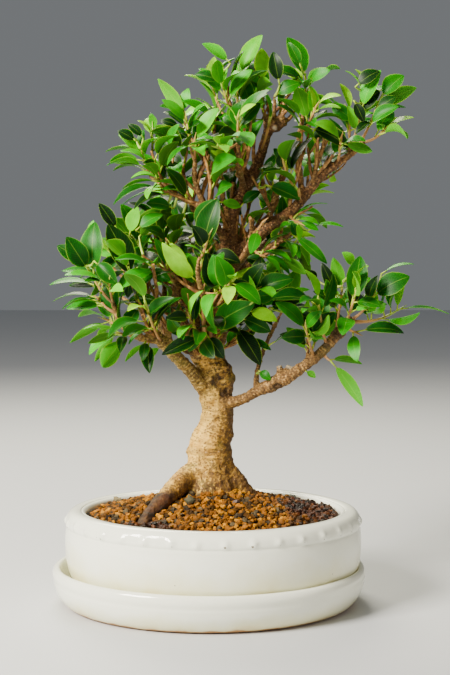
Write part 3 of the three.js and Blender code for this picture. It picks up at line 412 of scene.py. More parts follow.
HOLLOWS = [
    (4.8, -3.2, 136, 5.4, 2.4), (9.5, -1.5, 128.5, 4.2, 1.6), (41, -14, 132.4, 5.2, 2),
    (36.5, -12, 129.6, 3.4, 0.8), (6, -3.2, 112, 2.4, 0.4), (77, -17, 166, 6.5, 0.7),
    (70, -16.5, 158.5, 4.2, 0.4), (-12, -1.5, 152.6, 3.6, 0.1), (41, -5.5, 289, 3, 1.4),
]
PALE_ENDS = [(42.2, -11.6, 146.6, 3.2), (48.2, -12, 146.4, 3.4), (39, -5, 286.5, 2.2)]
BAND = 2.1
BURL_MIDDLE = Vector((7, 0, 139))
BURL_SIZE = Vector((11, 14, 16))
FLARE_TOP = 98
FLARE_HEIGHT = 22
FLECK_WARP = 1.1 * MM
VOXEL = 0.8


def tubes(name, lines, roundness=5, steps=8):
    """Round tapering lengths of wood along smooth lines, each closed at its ends."""
    curve = bpy.data.curves.new(name, "CURVE")
    curve.dimensions = "3D"
    curve.bevel_depth = MM
    curve.bevel_resolution = roundness
    curve.resolution_u = steps
    curve.use_fill_caps = True
    for line in lines:
        spline = curve.splines.new("BEZIER")
        spline.bezier_points.add(len(line) - 1)
        for knot, (x, y, z, radius) in zip(spline.bezier_points, line):
            knot.co = Vector((x, y, z)) * MM
            knot.radius = radius
            knot.handle_left_type = knot.handle_right_type = "AUTO"
    piece = link(name, curve)
    only(piece)
    bpy.ops.object.convert(target="MESH")
    return bpy.context.object


wood_lines = [TRUNK, *ROOTS, *BRANCHES]
trunk = tubes("trunk_bark", wood_lines)
parts = [trunk]
for x, y, z, radius in LUMPS:
    bpy.ops.mesh.primitive_ico_sphere_add(subdivisions=3, radius=radius * MM, location=Vector((x, y, z)) * MM)
    parts.append(bpy.context.object)
only(*parts)
bpy.ops.object.join()
skin = trunk.modifiers.new("skin", "REMESH")
skin.mode = "VOXEL"
skin.voxel_size = VOXEL * MM
bpy.ops.object.modifier_apply(modifier="skin")
flare = trunk.vertex_groups.new(name="flare")
for v in trunk.data.vertices:
    flare.add([v.index], min(1, max(0.06, (FLARE_TOP - v.co.z / MM) / FLARE_HEIGHT)), "REPLACE")
soften = trunk.modifiers.new("soften", "SMOOTH")
soften.factor = 0.6
soften.iterations = 60
soften.vertex_group = "flare"
bpy.ops.object.modifier_apply(modifier="soften")


def mark(mesh, name, values, kind="FLOAT", domain="POINT"):
    """Writes a value or a colour for each point or face of a mesh, for its material to read."""
    part = "color" if kind == "FLOAT_COLOR" else "value"
    mesh.attributes.new(name, kind, domain).data.foreach_set(part, values)


axis_points = []
for line in wood_lines:
    walked = 0
    for (x, y, z, r), (x2, y2, z2, r2) in zip(line, line[1:]):
        start, end = Vector((x, y, z)), Vector((x2, y2, z2))
        steps = max(1, round((end - start).length))
        for k in range(steps):
            t = k / steps
            axis_points.append((start.lerp(end, t), walked + t * (end - start).length, r + (r2 - r) * t,
                                (end - start).normalized()))
        walked += (end - start).length
axis_tree = KDTree(len(axis_points))
for i, (point, _, _, _) in enumerate(axis_points):
    axis_tree.insert(point, i)
axis_tree.balance()

# The way to the front left lamp: bark that faces it is painted lighter, as painted light, and gets fewer
# flecks.
SUNNY = Vector((-0.8, -0.5, 0.15)).normalized()
marks = {name: [] for name in ("girth", "along", "lit", "scar", "pale", "burl")}
moves = []
for v in trunk.data.vertices:
    p = v.co / MM
    found = min(axis_tree.find_n(p, 10), key=lambda near: near[2] / axis_points[near[1]][2])
    axis_point, along, girth, direction = axis_points[found[1]]
    along += (p - axis_point).dot(direction)
    off_burl = Vector(a / b for a, b in zip(p - BURL_MIDDLE, BURL_SIZE))
    burl = min(1, max(0, 1.25 - off_burl.length_squared * 1.25))
    frayed = p + 2.6 * noise.noise_vector(p / 2.6)
    hollow = 0
    scar = 0
    for x, y, z, spread, depth in HOLLOWS:
        near = max(0, 1 - ((frayed - Vector((x, y, z))).length / spread) ** 2)
        hollow += depth * near * near
        scar = max(scar, near)
    ring = noise.noise(Vector((p.x * 0.06, p.y * 0.06, along * 0.5)))
    lump = noise.noise(p / 7.5)
    cork = noise.noise(p / 2.2 + Vector((9, 4, 1)))
    stout = 1 if p.z < 100 else min(1, girth / 9)
    around = math.atan2(p.y - 8, p.x - 1)
    fibre = noise.noise(Vector((around * 7, p.z * 0.05, 3))) * min(1, max(0, (90 - p.z) / 15))
    joint = 0 if girth > 6 or p.z < 115 else max(0, math.cos(2 * math.pi * along / 6.2 + 3 * lump)) ** 6
    rise = (0.36 * ring * min(1, girth / 4) + 0.7 * lump * stout
            + (0.25 + 0.2 * stout + 0.45 * burl) * cork + 0.45 * fibre + 0.3 * joint - hollow)
    pale = max(max(0, 1 - (p - Vector(at[:3])).length / at[3]) for at in PALE_ENDS)
    moves.append(rise * MM)
    for name, value in zip(marks, (girth, along, v.normal.dot(SUNNY), scar, pale, burl)):
        marks[name].append(value)
for v, rise, normal in zip(trunk.data.vertices, moves, [v.normal.copy() for v in trunk.data.vertices]):
    v.co += normal * rise
for name, values in marks.items():
    mark(trunk.data, f"bark_{name}", values)
trunk.data.shade_smooth()

# Living bark is dull and of many tones: straw-gold with fine rings and brown flecks where it is old, brown
# and grainy on the limbs, rough and dark on the burl, streaked at the foot, and nearly black where it is
# damp. The rings and pores are drawn coarser than they are, so that they show. Painted light and shade: the
# bark is lighter where it faces the front left lamp, its flecks are denser away from that lamp, and its
# hollows are painted dark.
bark, tree, shader = material("fig_bark", IOR=1.45, Metallic=0.0, Roughness=0.75)
place = add(tree, "TexCoord").outputs["Object"]
girth, along, lit_side, scar, pale_end, burl = (
    add(tree, "Attribute", attribute_name=f"bark_{name}").outputs["Fac"] for name in marks)
axes = add(tree, "SeparateXYZ", {"Vector": place})
patch = add(tree, "TexNoise", {"Vector": place, "Scale": 1 / (7 * MM), "Detail": 5.0, "Roughness": 0.6})
# Painted light: the old bark's tone is lighter where it faces the front left lamp.
lit_patch = add(tree, "Math", [lit_side, 0.22, patch], operation="MULTIPLY_ADD")
old = add(tree, "ValToRGB", {"Fac": lit_patch},
          stops=[(0.25, "#734e12"), (0.42, "#9c6f24"), (0.56, "#bd8c30"), (0.75, "#e4b750")])
fine = add(tree, "TexNoise", {"Vector": place, "Scale": 1 / (1.5 * MM), "Detail": 3.0, "Roughness": 0.65})
limb_tone, tan_tone, olive_tone = (
    add(tree, "ValToRGB", {"Fac": fine}, stops=[*zip((0.34, 0.5, 0.66), codes)])
    for codes in (("#321e0d", "#6b421c", "#a57844"), ("#563816", "#8a632e", "#bd9454"),
                  ("#5c4716", "#98782f", "#d6b766")))
high = add(tree, "MapRange", [axes.outputs["Z"], 0.165, 0.215])
slim = add(tree, "MapRange", [girth, 6.5, 4.5])
above_roots = add(tree, "MapRange", [axes.outputs["Z"], 0.112, 0.124])
slim_limb = add(tree, "Math", [slim, above_roots], operation="MULTIPLY")
left = add(tree, "MapRange", [axes.outputs["X"], 0.004, -0.003])
limb = add(tree, "Mix", {0: left, 6: tan_tone, 7: olive_tone}, data_type="RGBA")
band_turn = add(tree, "Math", [along, 2 * math.pi / BAND], operation="MULTIPLY")
band = add(tree, "Math", [band_turn], operation="SINE")
band_light = add(tree, "MapRange", [band, -0.8, 0.8, 0.62, 1.25])
banded = add(tree, "Mix", {0: 0.7, 6: limb, 7: band_light}, data_type="RGBA", blend_type="MULTIPLY")
tan = add(tree, "Mix", {0: slim_limb, 6: old, 7: banded}, data_type="RGBA")
brown = add(tree, "Mix", {0: high, 6: tan, 7: limb_tone}, data_type="RGBA")
young = add(tree, "MapRange", [girth, 2.6, 1.7, 0, 0.85])
twigs = add(tree, "Mix", {0: young, 6: brown, 7: tan_tone}, data_type="RGBA")
ringed = add(tree, "CombineXYZ", {"X": axes.outputs["X"], "Y": axes.outputs["Y"], "Z": along})
ring_scale = add(tree, "VectorMath", [ringed, (55, 55, 0.7)], operation="MULTIPLY")
rings = add(tree, "TexNoise", {"Vector": ring_scale, "Scale": 1.0, "Detail": 3.0})
ring_dark = add(tree, "MapRange", [rings, 0.36, 0.58, 0.5, 1.1])
ringy = add(tree, "Mix", {0: 0.85, 6: twigs, 7: ring_dark}, data_type="RGBA", blend_type="MULTIPLY")
fleck_warp = add(tree, "TexNoise", {"Vector": place, "Scale": 1 / (1.1 * MM), "Detail": 2.0})
fleck_shift = add(tree, "VectorMath", [fleck_warp.outputs["Color"], [FLECK_WARP] * 3], operation="MULTIPLY")
fleck_place = add(tree, "VectorMath", [place, fleck_shift])
fleck_long = add(tree, "VectorMath", [fleck_place, (0.8, 0.8, 1.2)], operation="MULTIPLY")
fleck_cells = add(tree, "TexVoronoi", {"Vector": fleck_long, "Scale": 1 / (1.3 * MM)})
fleck_random = add(tree, "SeparateColor", {"Color": fleck_cells.outputs["Color"]})
fleck_area = add(tree, "TexNoise", {"Vector": place, "Scale": 1 / (9 * MM), "Detail": 3.0})
fleck_dense = add(tree, "Math", [fleck_area, 1.3, -0.33], operation="MULTIPLY_ADD")
# Flecks are denser towards +X and on the side turned from the front left lamp: real flecks, placed more
# thickly there as painted shade.
away_side_flecks = add(tree, "MapRange", [axes.outputs["X"], -0.008, 0.006, -0.1, 0.04])
fleck_foot = add(tree, "MapRange", [axes.outputs["Z"], 0.1, 0.078, 0, 0.14])
fleck_low = add(tree, "Math", [fleck_dense, fleck_foot])
fleck_side = add(tree, "Math", [fleck_low, away_side_flecks])
fleck_shade = add(tree, "Math", [lit_side, -0.17, fleck_side], operation="MULTIPLY_ADD")
fleck_edge = add(tree, "Math", [fleck_random, 0.42, fleck_shade], operation="MULTIPLY_ADD")
fleck_gap = add(tree, "Math", [fleck_edge, fleck_cells], operation="SUBTRACT")
fleck = add(tree, "Math", [fleck_gap, 8.0], operation="MULTIPLY", use_clamp=True)
fleck_share = add(tree, "Math", [fleck, 0.72], operation="MULTIPLY")
cork_patch = add(tree, "TexNoise",
                 {"Vector": place, "Scale": 1 / (2.8 * MM), "Detail": 4.0, "Roughness": 0.65})
cork_level = add(tree, "MapRange", [cork_patch, 0.47, 0.54, 0, 0.86])
cork_share = add(tree, "Math", [cork_level, burl], operation="MULTIPLY")
rough_gold = add(tree, "MapRange", [fine, 0.54, 0.66, 0, 0.7])
gold_share = add(tree, "Math", [rough_gold, burl], operation="MULTIPLY")
pore_cells = add(tree, "TexVoronoi", {"Vector": place, "Scale": 1 / (2 * MM)})
pore_size = add(tree, "SeparateColor", {"Color": pore_cells.outputs["Color"]})
pore_edge = add(tree, "Math", [pore_size, 0.3, -0.03], operation="MULTIPLY_ADD")
pore = add(tree, "Math", [pore_cells, pore_edge], operation="LESS_THAN")
pore_share = add(tree, "Math", [pore, 0.55], operation="MULTIPLY")
streak_place = add(tree, "VectorMath", [place, (1, 1, 0.22)], operation="MULTIPLY")
streaks = add(tree, "TexNoise", {"Vector": streak_place, "Scale": 1 / (1.7 * MM), "Detail": 3.0})
streak = add(tree, "MapRange", [streaks, 0.43, 0.56, 0, 0.9])
foot = add(tree, "MapRange", [axes.outputs["Z"], 0.091, 0.074])
foot_side = add(tree, "MapRange", [axes.outputs["X"], -0.02, -0.009, 0.3])
streak_foot = add(tree, "Math", [streak, foot], operation="MULTIPLY")
streak_share = add(tree, "Math", [streak_foot, foot_side], operation="MULTIPLY")
moss_patch = add(tree, "TexNoise", {"Vector": place, "Scale": 1 / (11 * MM), "Detail": 3.0})
moss_level = add(tree, "Math", [moss_patch, 0.58], operation="SUBTRACT")
moss_share = add(tree, "Math", [moss_level, 3.0], operation="MULTIPLY", use_clamp=True)
damp_foot = add(tree, "MapRange", [axes.outputs["Z"], 0.0745, 0.0695])
root_end = add(tree, "MapRange", [axes.outputs["Y"], -0.0165, -0.0205])
damp_low = add(tree, "Math", [damp_foot, root_end], operation="MULTIPLY")
damp_share = add(tree, "Math", [damp_low, 0.93], operation="MULTIPLY")
damp_tone = add(tree, "ValToRGB", {"Fac": patch}, stops=[(0.42, "#120a08"), (0.64, "#4c260c")])
# Painted shade: the hollows are painted dark brown.
hollow_shade_share = add(tree, "MapRange", [scar, 0.2, 0.7, 0, 0.68])
surface = ringy
for share, tone in (
        (fleck_share, linear("#553916")), (cork_share, linear("#2a1a0a")), (gold_share, linear("#cfa24a")),
        (streak_share, linear("#4a2e0e")), (pore_share, linear("#c7a06b")), (moss_share, linear("#6f6a24")),
        (damp_share, damp_tone), (hollow_shade_share, linear("#2f1d0c")), (pale_end, linear("#d8c9a6"))):
    surface = add(tree, "Mix", {0: share, 6: surface, 7: tone}, data_type="RGBA")
wire(shader, {"Base Color": surface})
relief = add(tree, "Math", [rings, 0.9, fine], operation="MULTIPLY_ADD")
pitted = add(tree, "Math", [fleck, -0.35, relief], operation="MULTIPLY_ADD")
bark_bump = add(tree, "Bump", {"Height": pitted, "Strength": 0.9, "Distance": 0.6 * MM})
wire(shader, {"Normal": bark_bump})
dress(trunk, bark)
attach(trunk, "root")
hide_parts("trunk")

# Loose granules on the soil.
# Sieved baked clay, orange to brown, 2 to 4 mm, with a few crumbs of grey lava. They lie where they fell,
# darker where the last water still stands: at the right end and beside the front root. At the right end this
# darkness is also painted shade.
SOIL_MOUTH = 76.4
SOIL_EDGE = 53
SOIL_HEAP = 9.5
MOUND = 7.5
MOUND_WIDTH = 26
BED_DEPTH = 2.3
GRANULE_SPACING = 2.9
ROW_STEP = 0.866
SIEVED = [1.25, 1.45, 1.6, 1.75, 1.95, 2.2]
LAVA_SHARE = 0.13
CLAY_TONES = ["#8a5400", "#6e4100", "#a87006", "#523200", "#3a2400", "#7c4a00"]
LAVA_TONES = ["#453a28", "#352a18", "#54472f", "#2a1e10"]
# Where water stands; the first place, at the right end, is also painted shade.
WET_AND_SHADED_PLACES = [
    (66, -8, 30, 1.2), (58, -44, 18, 0.8), (-42, -48, 15, 1.2), (-30, -52, 14, 1.0), (60, 18, 18, 1.0),
]
PEBBLES = [
    (-58, 28, 3.1, "#75684a"), (-11, -21, 3.2, "#45422f"), (52, 32, 2.6, "#4f5348"),
    (16, -22, 2.3, "#6b5b55"),
]

bpy.ops.mesh.primitive_ico_sphere_add(subdivisions=2, radius=1)
stone = bpy.context.object
stone_points = np.array([v.co for v in stone.data.vertices])
stone_faces = np.array([p.vertices for p in stone.data.polygons])
bpy.data.objects.remove(stone)
chance = random.Random(11)


def tree_of(piece):
    """A piece's faces, sorted for finding what is near and what cuts them."""
    mesh = piece.data
    return BVHTree.FromPolygons([v.co for v in mesh.vertices], [p.vertices for p in mesh.polygons])


wood_tree = tree_of(trunk)


def on_soil(x, y):
    """How far out a point of the soil is, from 0 in the middle to 1 at the wall, and how high it lies."""
    off = math.hypot(x - POT_MIDDLE, y / (1 - OVAL_LESS / SOIL_MOUTH)) / SOIL_MOUTH
    around = math.hypot(x - 3, y - 2) / MOUND_WIDTH
    return off, SOIL_EDGE + SOIL_HEAP * (1 - off * off) + MOUND * math.exp(-around * around)


def crumb(points, middle, radius, seed):
    """A lumpy stone: the round one, turned, squashed and dented."""
    shift = Vector((seed * 7.3, seed, 0))
    dented = []
    for p in map(Vector, points):
        dent = 1 + 0.5 * noise.noise(p * 1.3 + shift) + 0.55 * noise.noise(p * 3.3 + shift)
        dented.append(radius * dent)
    turned = Matrix.Rotation(seed * 2.4, 3, "X") @ Matrix.Rotation(seed * 1.7, 3, "Z")
    shaped = points * np.array(dented)[:, None] * np.array([1, 0.86, 0.78])
    return shaped @ np.array(turned) + middle


heap_line = [(0, 50), (SOIL_MOUTH, 50), *((SOIL_MOUTH - 3.2 * k, 52) for k in range(24))]
heap = thrown("soil_heap", [Vector((x, 0, z)) * MM for x, z in heap_line], 90)
press_oval(heap, POT_MIDDLE * MM)
for v in heap.data.vertices:
    if v.co.z > 51 * MM:
        v.co.z = (on_soil(v.co.x / MM, v.co.y / MM)[1] - BED_DEPTH) * MM
dress(heap, shaded_soil_bed)
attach(heap, "root")

granules = {"clay": [], "lava": []}
rows = int(2 * SOIL_MOUTH / (GRANULE_SPACING * ROW_STEP)) + 1
for row in range(rows):
    for column in range(int(2 * SOIL_MOUTH / GRANULE_SPACING) + 2):
        x = POT_MIDDLE - SOIL_MOUTH + GRANULE_SPACING * (column + 0.5 * (row % 2)) + chance.uniform(-0.8, 0.8)
        y = -SOIL_MOUTH + GRANULE_SPACING * ROW_STEP * row + chance.uniform(-0.8, 0.8)
        radius = chance.choice(SIEVED)
        lift = chance.uniform(-0.5, 1.3)
        off, height = on_soil(x, y)
        if off * SOIL_MOUTH + radius > SOIL_MOUTH:
            continue
        kind = "lava" if chance.random() < LAVA_SHARE else "clay"
        granules[kind].append((x, y, height + lift, radius, None))
for x, y, radius, tone in PEBBLES:
    granules["lava"].append((x, y, on_soil(x, y)[1] + 0.6 * radius, radius, tone))

# Dry baked clay and lava are porous and dull. Where they are wet they are darker and shine a little; at the
# right end that darkness is also painted shade. Their tone is painted lighter on each crumb's top and darker
# beneath, as painted light and shade. Their pores are drawn coarser than they are, so that they show.
stone_looks = {}
for kind, look_name, roughness, pore in (
        ("clay", "baked_clay_granules", 0.85, 0.5), ("lava", "crushed_lava", 0.9, 0.35)):
    made, tree, shader = material(look_name, IOR=1.5, Metallic=0.0, Specular_IOR_Level=0.25)
    place = add(tree, "TexCoord").outputs["Object"]
    tone = add(tree, "Attribute", attribute_name="stone_tone")
    wet_shade_attribute = add(tree, "Attribute", attribute_name="stone_wet")
    pores = add(tree, "TexNoise", {"Vector": place, "Scale": 1 / (pore * MM), "Detail": 3.0})
    grain = add(tree, "MapRange", [pores, 0.3, 0.7, 0.62, 1.2])
    lit_tops_and_pores = add(tree, "Mix", {0: 1.0, 6: tone, 7: grain}, data_type="RGBA", blend_type="MULTIPLY")
    wet_shade = add(tree, "Mix", {0: wet_shade_attribute.outputs["Fac"], 6: lit_tops_and_pores, 7: linear("#7a6444")},
               data_type="RGBA", blend_type="MULTIPLY")
    wire(shader, {"Base Color": wet_shade})
    sheen = add(tree, "MapRange", [wet_shade_attribute.outputs["Fac"], 0, 1, roughness, 0.45])
    wire(shader, {"Roughness": sheen})
    pitted = add(tree, "Bump", {"Height": pores, "Strength": 0.7, "Distance": 0.4 * MM})
    wire(shader, {"Normal": pitted})
    stone_looks[kind] = made

for kind, stones in granules.items():
    points, faces, tones, wet_shades = [], [], [], []
    for x, y, z, radius, tone in stones:
        middle = Vector((x, y, z)) * MM
        hit, normal, _, away = wood_tree.find_nearest(middle)
        if (middle - hit).dot(normal) < 0 or away < 0.5 * radius * MM:
            continue
        tone = Vector(linear(tone or chance.choice(CLAY_TONES if kind == "clay" else LAVA_TONES)))
        shade = chance.uniform(0.72, 1.18)
        # Wetter places are darker; at the right end that darkness is also painted shade.
        wet_shade = max(share * max(0, 1 - (math.hypot(x - u, y - v) / spread) ** 2)
                   for u, v, spread, share in WET_AND_SHADED_PLACES)
        wet_shade = min(1, wet_shade * 1.3 + 0.12 * noise.noise(middle / 0.009))
        faces.append(stone_faces + len(points) * len(stone_points))
        points.append(crumb(stone_points, np.array((x, y, z)), radius, chance.uniform(0, 60)))
        # Painted light and shade: each crumb is painted lighter on its top and darker beneath.
        lit_top = np.clip(0.95 + 0.62 * (points[-1][:, 2] - z) / radius, 0.22, 1.3) * shade
        tones += [(*(float(d) * c for c in tone[:3]), 1) for d in lit_top]
        wet_shades += [max(0, wet_shade)] * len(stone_points)
    mesh = bpy.data.meshes.new(f"granules_{kind}")
    mesh.from_pydata(np.concatenate(points) * MM, [], np.concatenate(faces))
    mark(mesh, "stone_tone", np.ravel(tones), "FLOAT_COLOR")
    mark(mesh, "stone_wet", wet_shades)
    mesh.materials.append(stone_looks[kind])
    piece = link(f"granules_{kind}", mesh)
    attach(piece, "root")

# Young shoots.
# This year's growth: thin round stems, tan at the base and green at the tip, which carry the leaves and end
# in a pointed sheath around the next leaf. Each takes over the stem of its spray, rounded.
BLADE = 0.7
ARCH = 0.1
MIDDLE = 0.56
ROOTED = 1.3
GREEN_BEYOND = 30 * MM
FRONT_SHOOT = [
    [(-2, 2, 157, 1.5), (-2.6, -7, 161, 1.4), (-2.9, -11, 166, 1.3), (-3.2, -13, 174, 1.2),
     (-3.5, -14, 184, 1.1), (-3.4, -14, 190, 1), (-2.3, -14.5, 195, 0.4)],
    [(-3, -12, 170, 1), (-1, -13, 178, 0.9), (3, -12, 184, 0.8), (7, -11, 191, 0.4)],
]
TIP_TO_MIDDLE = math.hypot(1 - MIDDLE, 4 * ARCH * MIDDLE * (1 - MIDDLE))


def neighbours(v):
    """The points that share an edge with this one."""
    return {e.other_vert(v) for e in v.link_edges}


def split_leaves(bm):
    """Finds the leaves of a spray's solid. Each has a tip that six points surround, in three pairs as far
    apart as the blade is thick. Gives each leaf's foot, its length and direction as one vector, and its
    upward direction, and takes the leaves off, so that the closed stem is left."""
    leaves, gone = [], set()
    for tip in bm.verts:
        around = neighbours(tip)
        if len(around) != 6:
            continue
        pairs = [(a, b) for a in around for b in around
                 if a.index < b.index and abs((a.co - b.co).length - BLADE * MM) < 0.02 * MM]
        spine = [pair for pair in pairs if pair[1] not in neighbours(pair[0])]
        edges = [pair for pair in pairs if pair[1] in neighbours(pair[0])]
        if len(spine) != 1 or len(edges) != 2:
            continue
        one, other = spine[0]
        middle = (one.co + other.co) / 2
        upper = (one.co - other.co).normalized()
        if (tip.co - middle).dot(upper) > 0:
            upper = -upper
        length = (tip.co - middle).length / TIP_TO_MIDDLE
        along = (tip.co - middle + upper * 4 * ARCH * MIDDLE * (1 - MIDDLE) * length) / (1 - MIDDLE)
        leaves.append((tip.co - along, along, upper))
        far = {one, other, *edges[0], *edges[1]}
        near = {w for edge in edges for v in edge for w in neighbours(v) if neighbours(w) & {one, other}}
        gone |= {tip, *far, *near}
    bmesh.ops.delete(bm, geom=list(gone), context="VERTS")
    bmesh.ops.holes_fill(bm, edges=[e for e in bm.edges if e.is_boundary])
    bmesh.ops.recalc_face_normals(bm, faces=bm.faces)
    return leaves


def reaches(bm, tree):
    """How far each point of a stem is from the wood, along the stem."""
    away = {v: tree.find_nearest(v.co)[3] for v in bm.verts}
    reach = {v: 0.0 for v in bm.verts if away[v] < min(away.values()) + ROOTED * MM}
    waiting = list(reach)
    while waiting:
        v = waiting.pop(0)
        for e in v.link_edges:
            w = e.other_vert(v)
            far = reach[v] + e.calc_length()
            if w not in reach or far < reach[w] - 1e-7:
                reach[w] = far
                waiting.append(w)
    return reach


spray_names = sorted(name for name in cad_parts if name.startswith("spray_"))
cad_leaves, stems, stem_ends = {}, {}, {}
for name in spray_names:
    bm = bmesh.new()
    bm.from_mesh(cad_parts[name].data)
    bmesh.ops.remove_doubles(bm, verts=bm.verts, dist=0.002 * MM)
    bm.verts.index_update()
    cad_leaves[name] = split_leaves(bm)
    reach = reaches(bm, wood_tree)
    for v in bm.verts:
        if reach.get(v) == 0.0:
            hit, normal, _, _ = wood_tree.find_nearest(v.co)
            v.co = hit - normal * 0.8 * MM
    ends = []
    for v in bm.verts:
        far = reach.get(v, 0)
        if far > 6 * MM and all(reach.get(w, 0) <= far for w in neighbours(v)):
            ring = [w for w in bm.verts
                    if (w.co - v.co).length < 2.4 * MM and reach.get(w, 0) > far - 2.2 * MM]
            end = sum((w.co for w in ring), Vector()) / len(ring)
            behind = [w for w in bm.verts
                      if 3 * MM < (w.co - end).length < 14 * MM and reach.get(w, 0) < far - 2 * MM]
            if behind and all((end - other).length > 4 * MM for other, _ in ends):
                back = sum((w.co for w in behind), Vector()) / len(behind)
                ends.append((end, (end - back).normalized()))
    stem_ends[name] = ends
    for v in bm.verts:
        v.co += v.normal * 0.12 * MM if reach.get(v) else Vector()
    mesh = bpy.data.meshes.new("stem")
    bm.to_mesh(mesh)
    bm.free()
    stems[name] = mesh

stem_parts = [tubes("front_shoot", FRONT_SHOOT)]
for name, mesh in stems.items():
    stem = link("stem", mesh)
    only(stem)
    rounding = stem.modifiers.new("rounding", "SUBSURF")
    rounding.levels = rounding.render_levels = 2
    bpy.ops.object.modifier_apply(modifier="rounding")
    stem_parts.append(stem)


def sheath(end, axis, length, radius):
    """The pointed sheath at the end of a shoot."""
    bpy.ops.mesh.primitive_cone_add(vertices=8, radius1=radius, radius2=0.12 * MM, depth=length)
    bud = bpy.context.object
    bpy.ops.object.mode_set(mode="EDIT")
    bpy.ops.mesh.select_all(action="SELECT")
    bpy.ops.mesh.subdivide(number_cuts=2)
    bpy.ops.object.mode_set(mode="OBJECT")
    for v in bud.data.vertices:
        t = v.co.z / length + 0.5
        v.co.x = v.co.x * (1 + 0.9 * math.sin(math.pi * min(1, t * 1.4)) * (1 - t)) + 0.12 * length * t * t
    turned = axis.to_track_quat("Z", "Y").to_matrix().to_4x4()
    bud.data.transform(Matrix.Translation(end + axis * 0.35 * length) @ turned)
    return bud


for name in spray_names:
    for end, axis in stem_ends[name]:
        stem_parts.append(sheath(end, axis, chance.uniform(5.5, 9) * MM, 0.75 * MM))
only(*stem_parts)
bpy.ops.object.join()
shoots = bpy.context.object
shoots.name = "young_shoots"
shoots.data.shade_smooth()
fresh = [min(1, wood_tree.find_nearest(v.co)[3] / GREEN_BEYOND) for v in shoots.data.vertices]
mark(shoots.data, "stem_fresh", fresh)
# Young bark is smooth with a slight sheen: patchy tan where it is older, green towards its end, with pale
# pores.
stem_bark, tree, shader = material("green_fig_stem", IOR=1.45, Metallic=0.0, Roughness=0.5)
place = add(tree, "TexCoord").outputs["Object"]
freshness = add(tree, "Attribute", attribute_name="stem_fresh").outputs["Fac"]
blotch = add(tree, "TexNoise", {"Vector": place, "Scale": 1 / (6 * MM), "Detail": 3.0})
mixed = add(tree, "Math", [blotch, 0.5, freshness], operation="MULTIPLY_ADD")
stem_tone = add(tree, "ValToRGB", {"Fac": mixed},
                stops=[(0.25, "#8f6336"), (0.6, "#b08445"), (0.9, "#a3a03e"), (1.0, "#9dbb3c")])
pores = add(tree, "TexVoronoi", {"Vector": place, "Scale": 1 / (1.6 * MM)})
pore = add(tree, "Math", [pores, 0.2], operation="LESS_THAN")
pore_share = add(tree, "Math", [pore, 0.35], operation="MULTIPLY")
dotted = add(tree, "Mix", {0: pore_share, 6: stem_tone, 7: linear("#d2b98a")}, data_type="RGBA")
wire(shader, {"Base Color": dotted})
dress(shoots, stem_bark)
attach(shoots, "root")

# Inner twigs.
# Older twigs, 2 to 3 mm thick, tan and knotty, that rise from the limbs and fork between the leafy shoots.
# Most have shed their leaves, since little light reaches them.
TWIG_TRIES = 700
TWIG_STEP = 4.2
TWIG_FROM = 140
CROWN_MIDDLE = Vector((12, 2, 200)) * MM
DENSE_MIDDLE = Vector((6, 6, 222)) * MM
DENSE_SIZE = Vector((46, 42, 74)) * MM
BARE_LIMBS = [
    [(13, 222), (17, 244), (22, 256), (29, 270), (37, 284), (39, 292)],
    [(14, 207), (25, 222), (42, 235), (57, 247), (72, 261), (86, 273)], [(-3, 240), (-8, 256), (-8.5, 267)],
    [(42, 139), (62, 150)],
]
BARE_WIDTH = 4.6
BARE_LIMB = 20
BARE_TOP = 160
UP = Vector((0, 0, 1))
points, faces = [], []
for name in spray_names:
    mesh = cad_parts[name].data
    faces += [[i + len(points) for i in p.vertices] for p in mesh.polygons]
    points += [v.co.copy() for v in mesh.vertices]
spray_tree = BVHTree.FromPolygons(points, faces)
rng = random.Random(23)
twigs, taken = [], []


def in_crown(here):
    """Whether a point is in the close middle of the crown, where twigs and leaves fill what the solids leave
    open."""
    return Vector(a / b for a, b in zip(here - DENSE_MIDDLE, DENSE_SIZE)).length < 1


def hides_limb(points):
    """How many points lie in front of the limbs that stand bare in the front of the crown."""
    points = points / MM
    near = np.full(len(points), 1e9)
    for line in BARE_LIMBS:
        for (x, z), (x2, z2) in zip(line, line[1:]):
            run = np.array((x2 - x, z2 - z))
            off = points[:, [0, 2]] - (x, z)
            share = np.clip(off @ run / (run @ run), 0, 1)
            near = np.minimum(near, np.linalg.norm(off - share[:, None] * run, axis=1))
    return int(((near < BARE_WIDTH) & (points[:, 1] < 1)).sum())


def climb(here, heading, steps, radius, others):
    """Grows a twig step by step, up to the first leaf, shoot or twig in its way."""
    line = [(here, radius)]
    for k in range(steps):
        heading = (heading + 0.3 * noise.noise_vector(here / 0.011) + 0.08 * UP).normalized()
        after = here + heading * TWIG_STEP * MM
        if k:
            close = spray_tree.find_nearest(after)[3] < (radius + 0.4) * MM
            crossed = spray_tree.ray_cast(here, heading, TWIG_STEP * MM)[0]
            crowded = others and min((after - other).length for other in others) < 3.4 * MM
            if close or crossed or crowded:
                break
        here = after
        knot = 1.2 if k % 2 else 0.92
        line.append((here, knot * radius * (1 - 0.4 * (k + 1) / steps)))
    return line


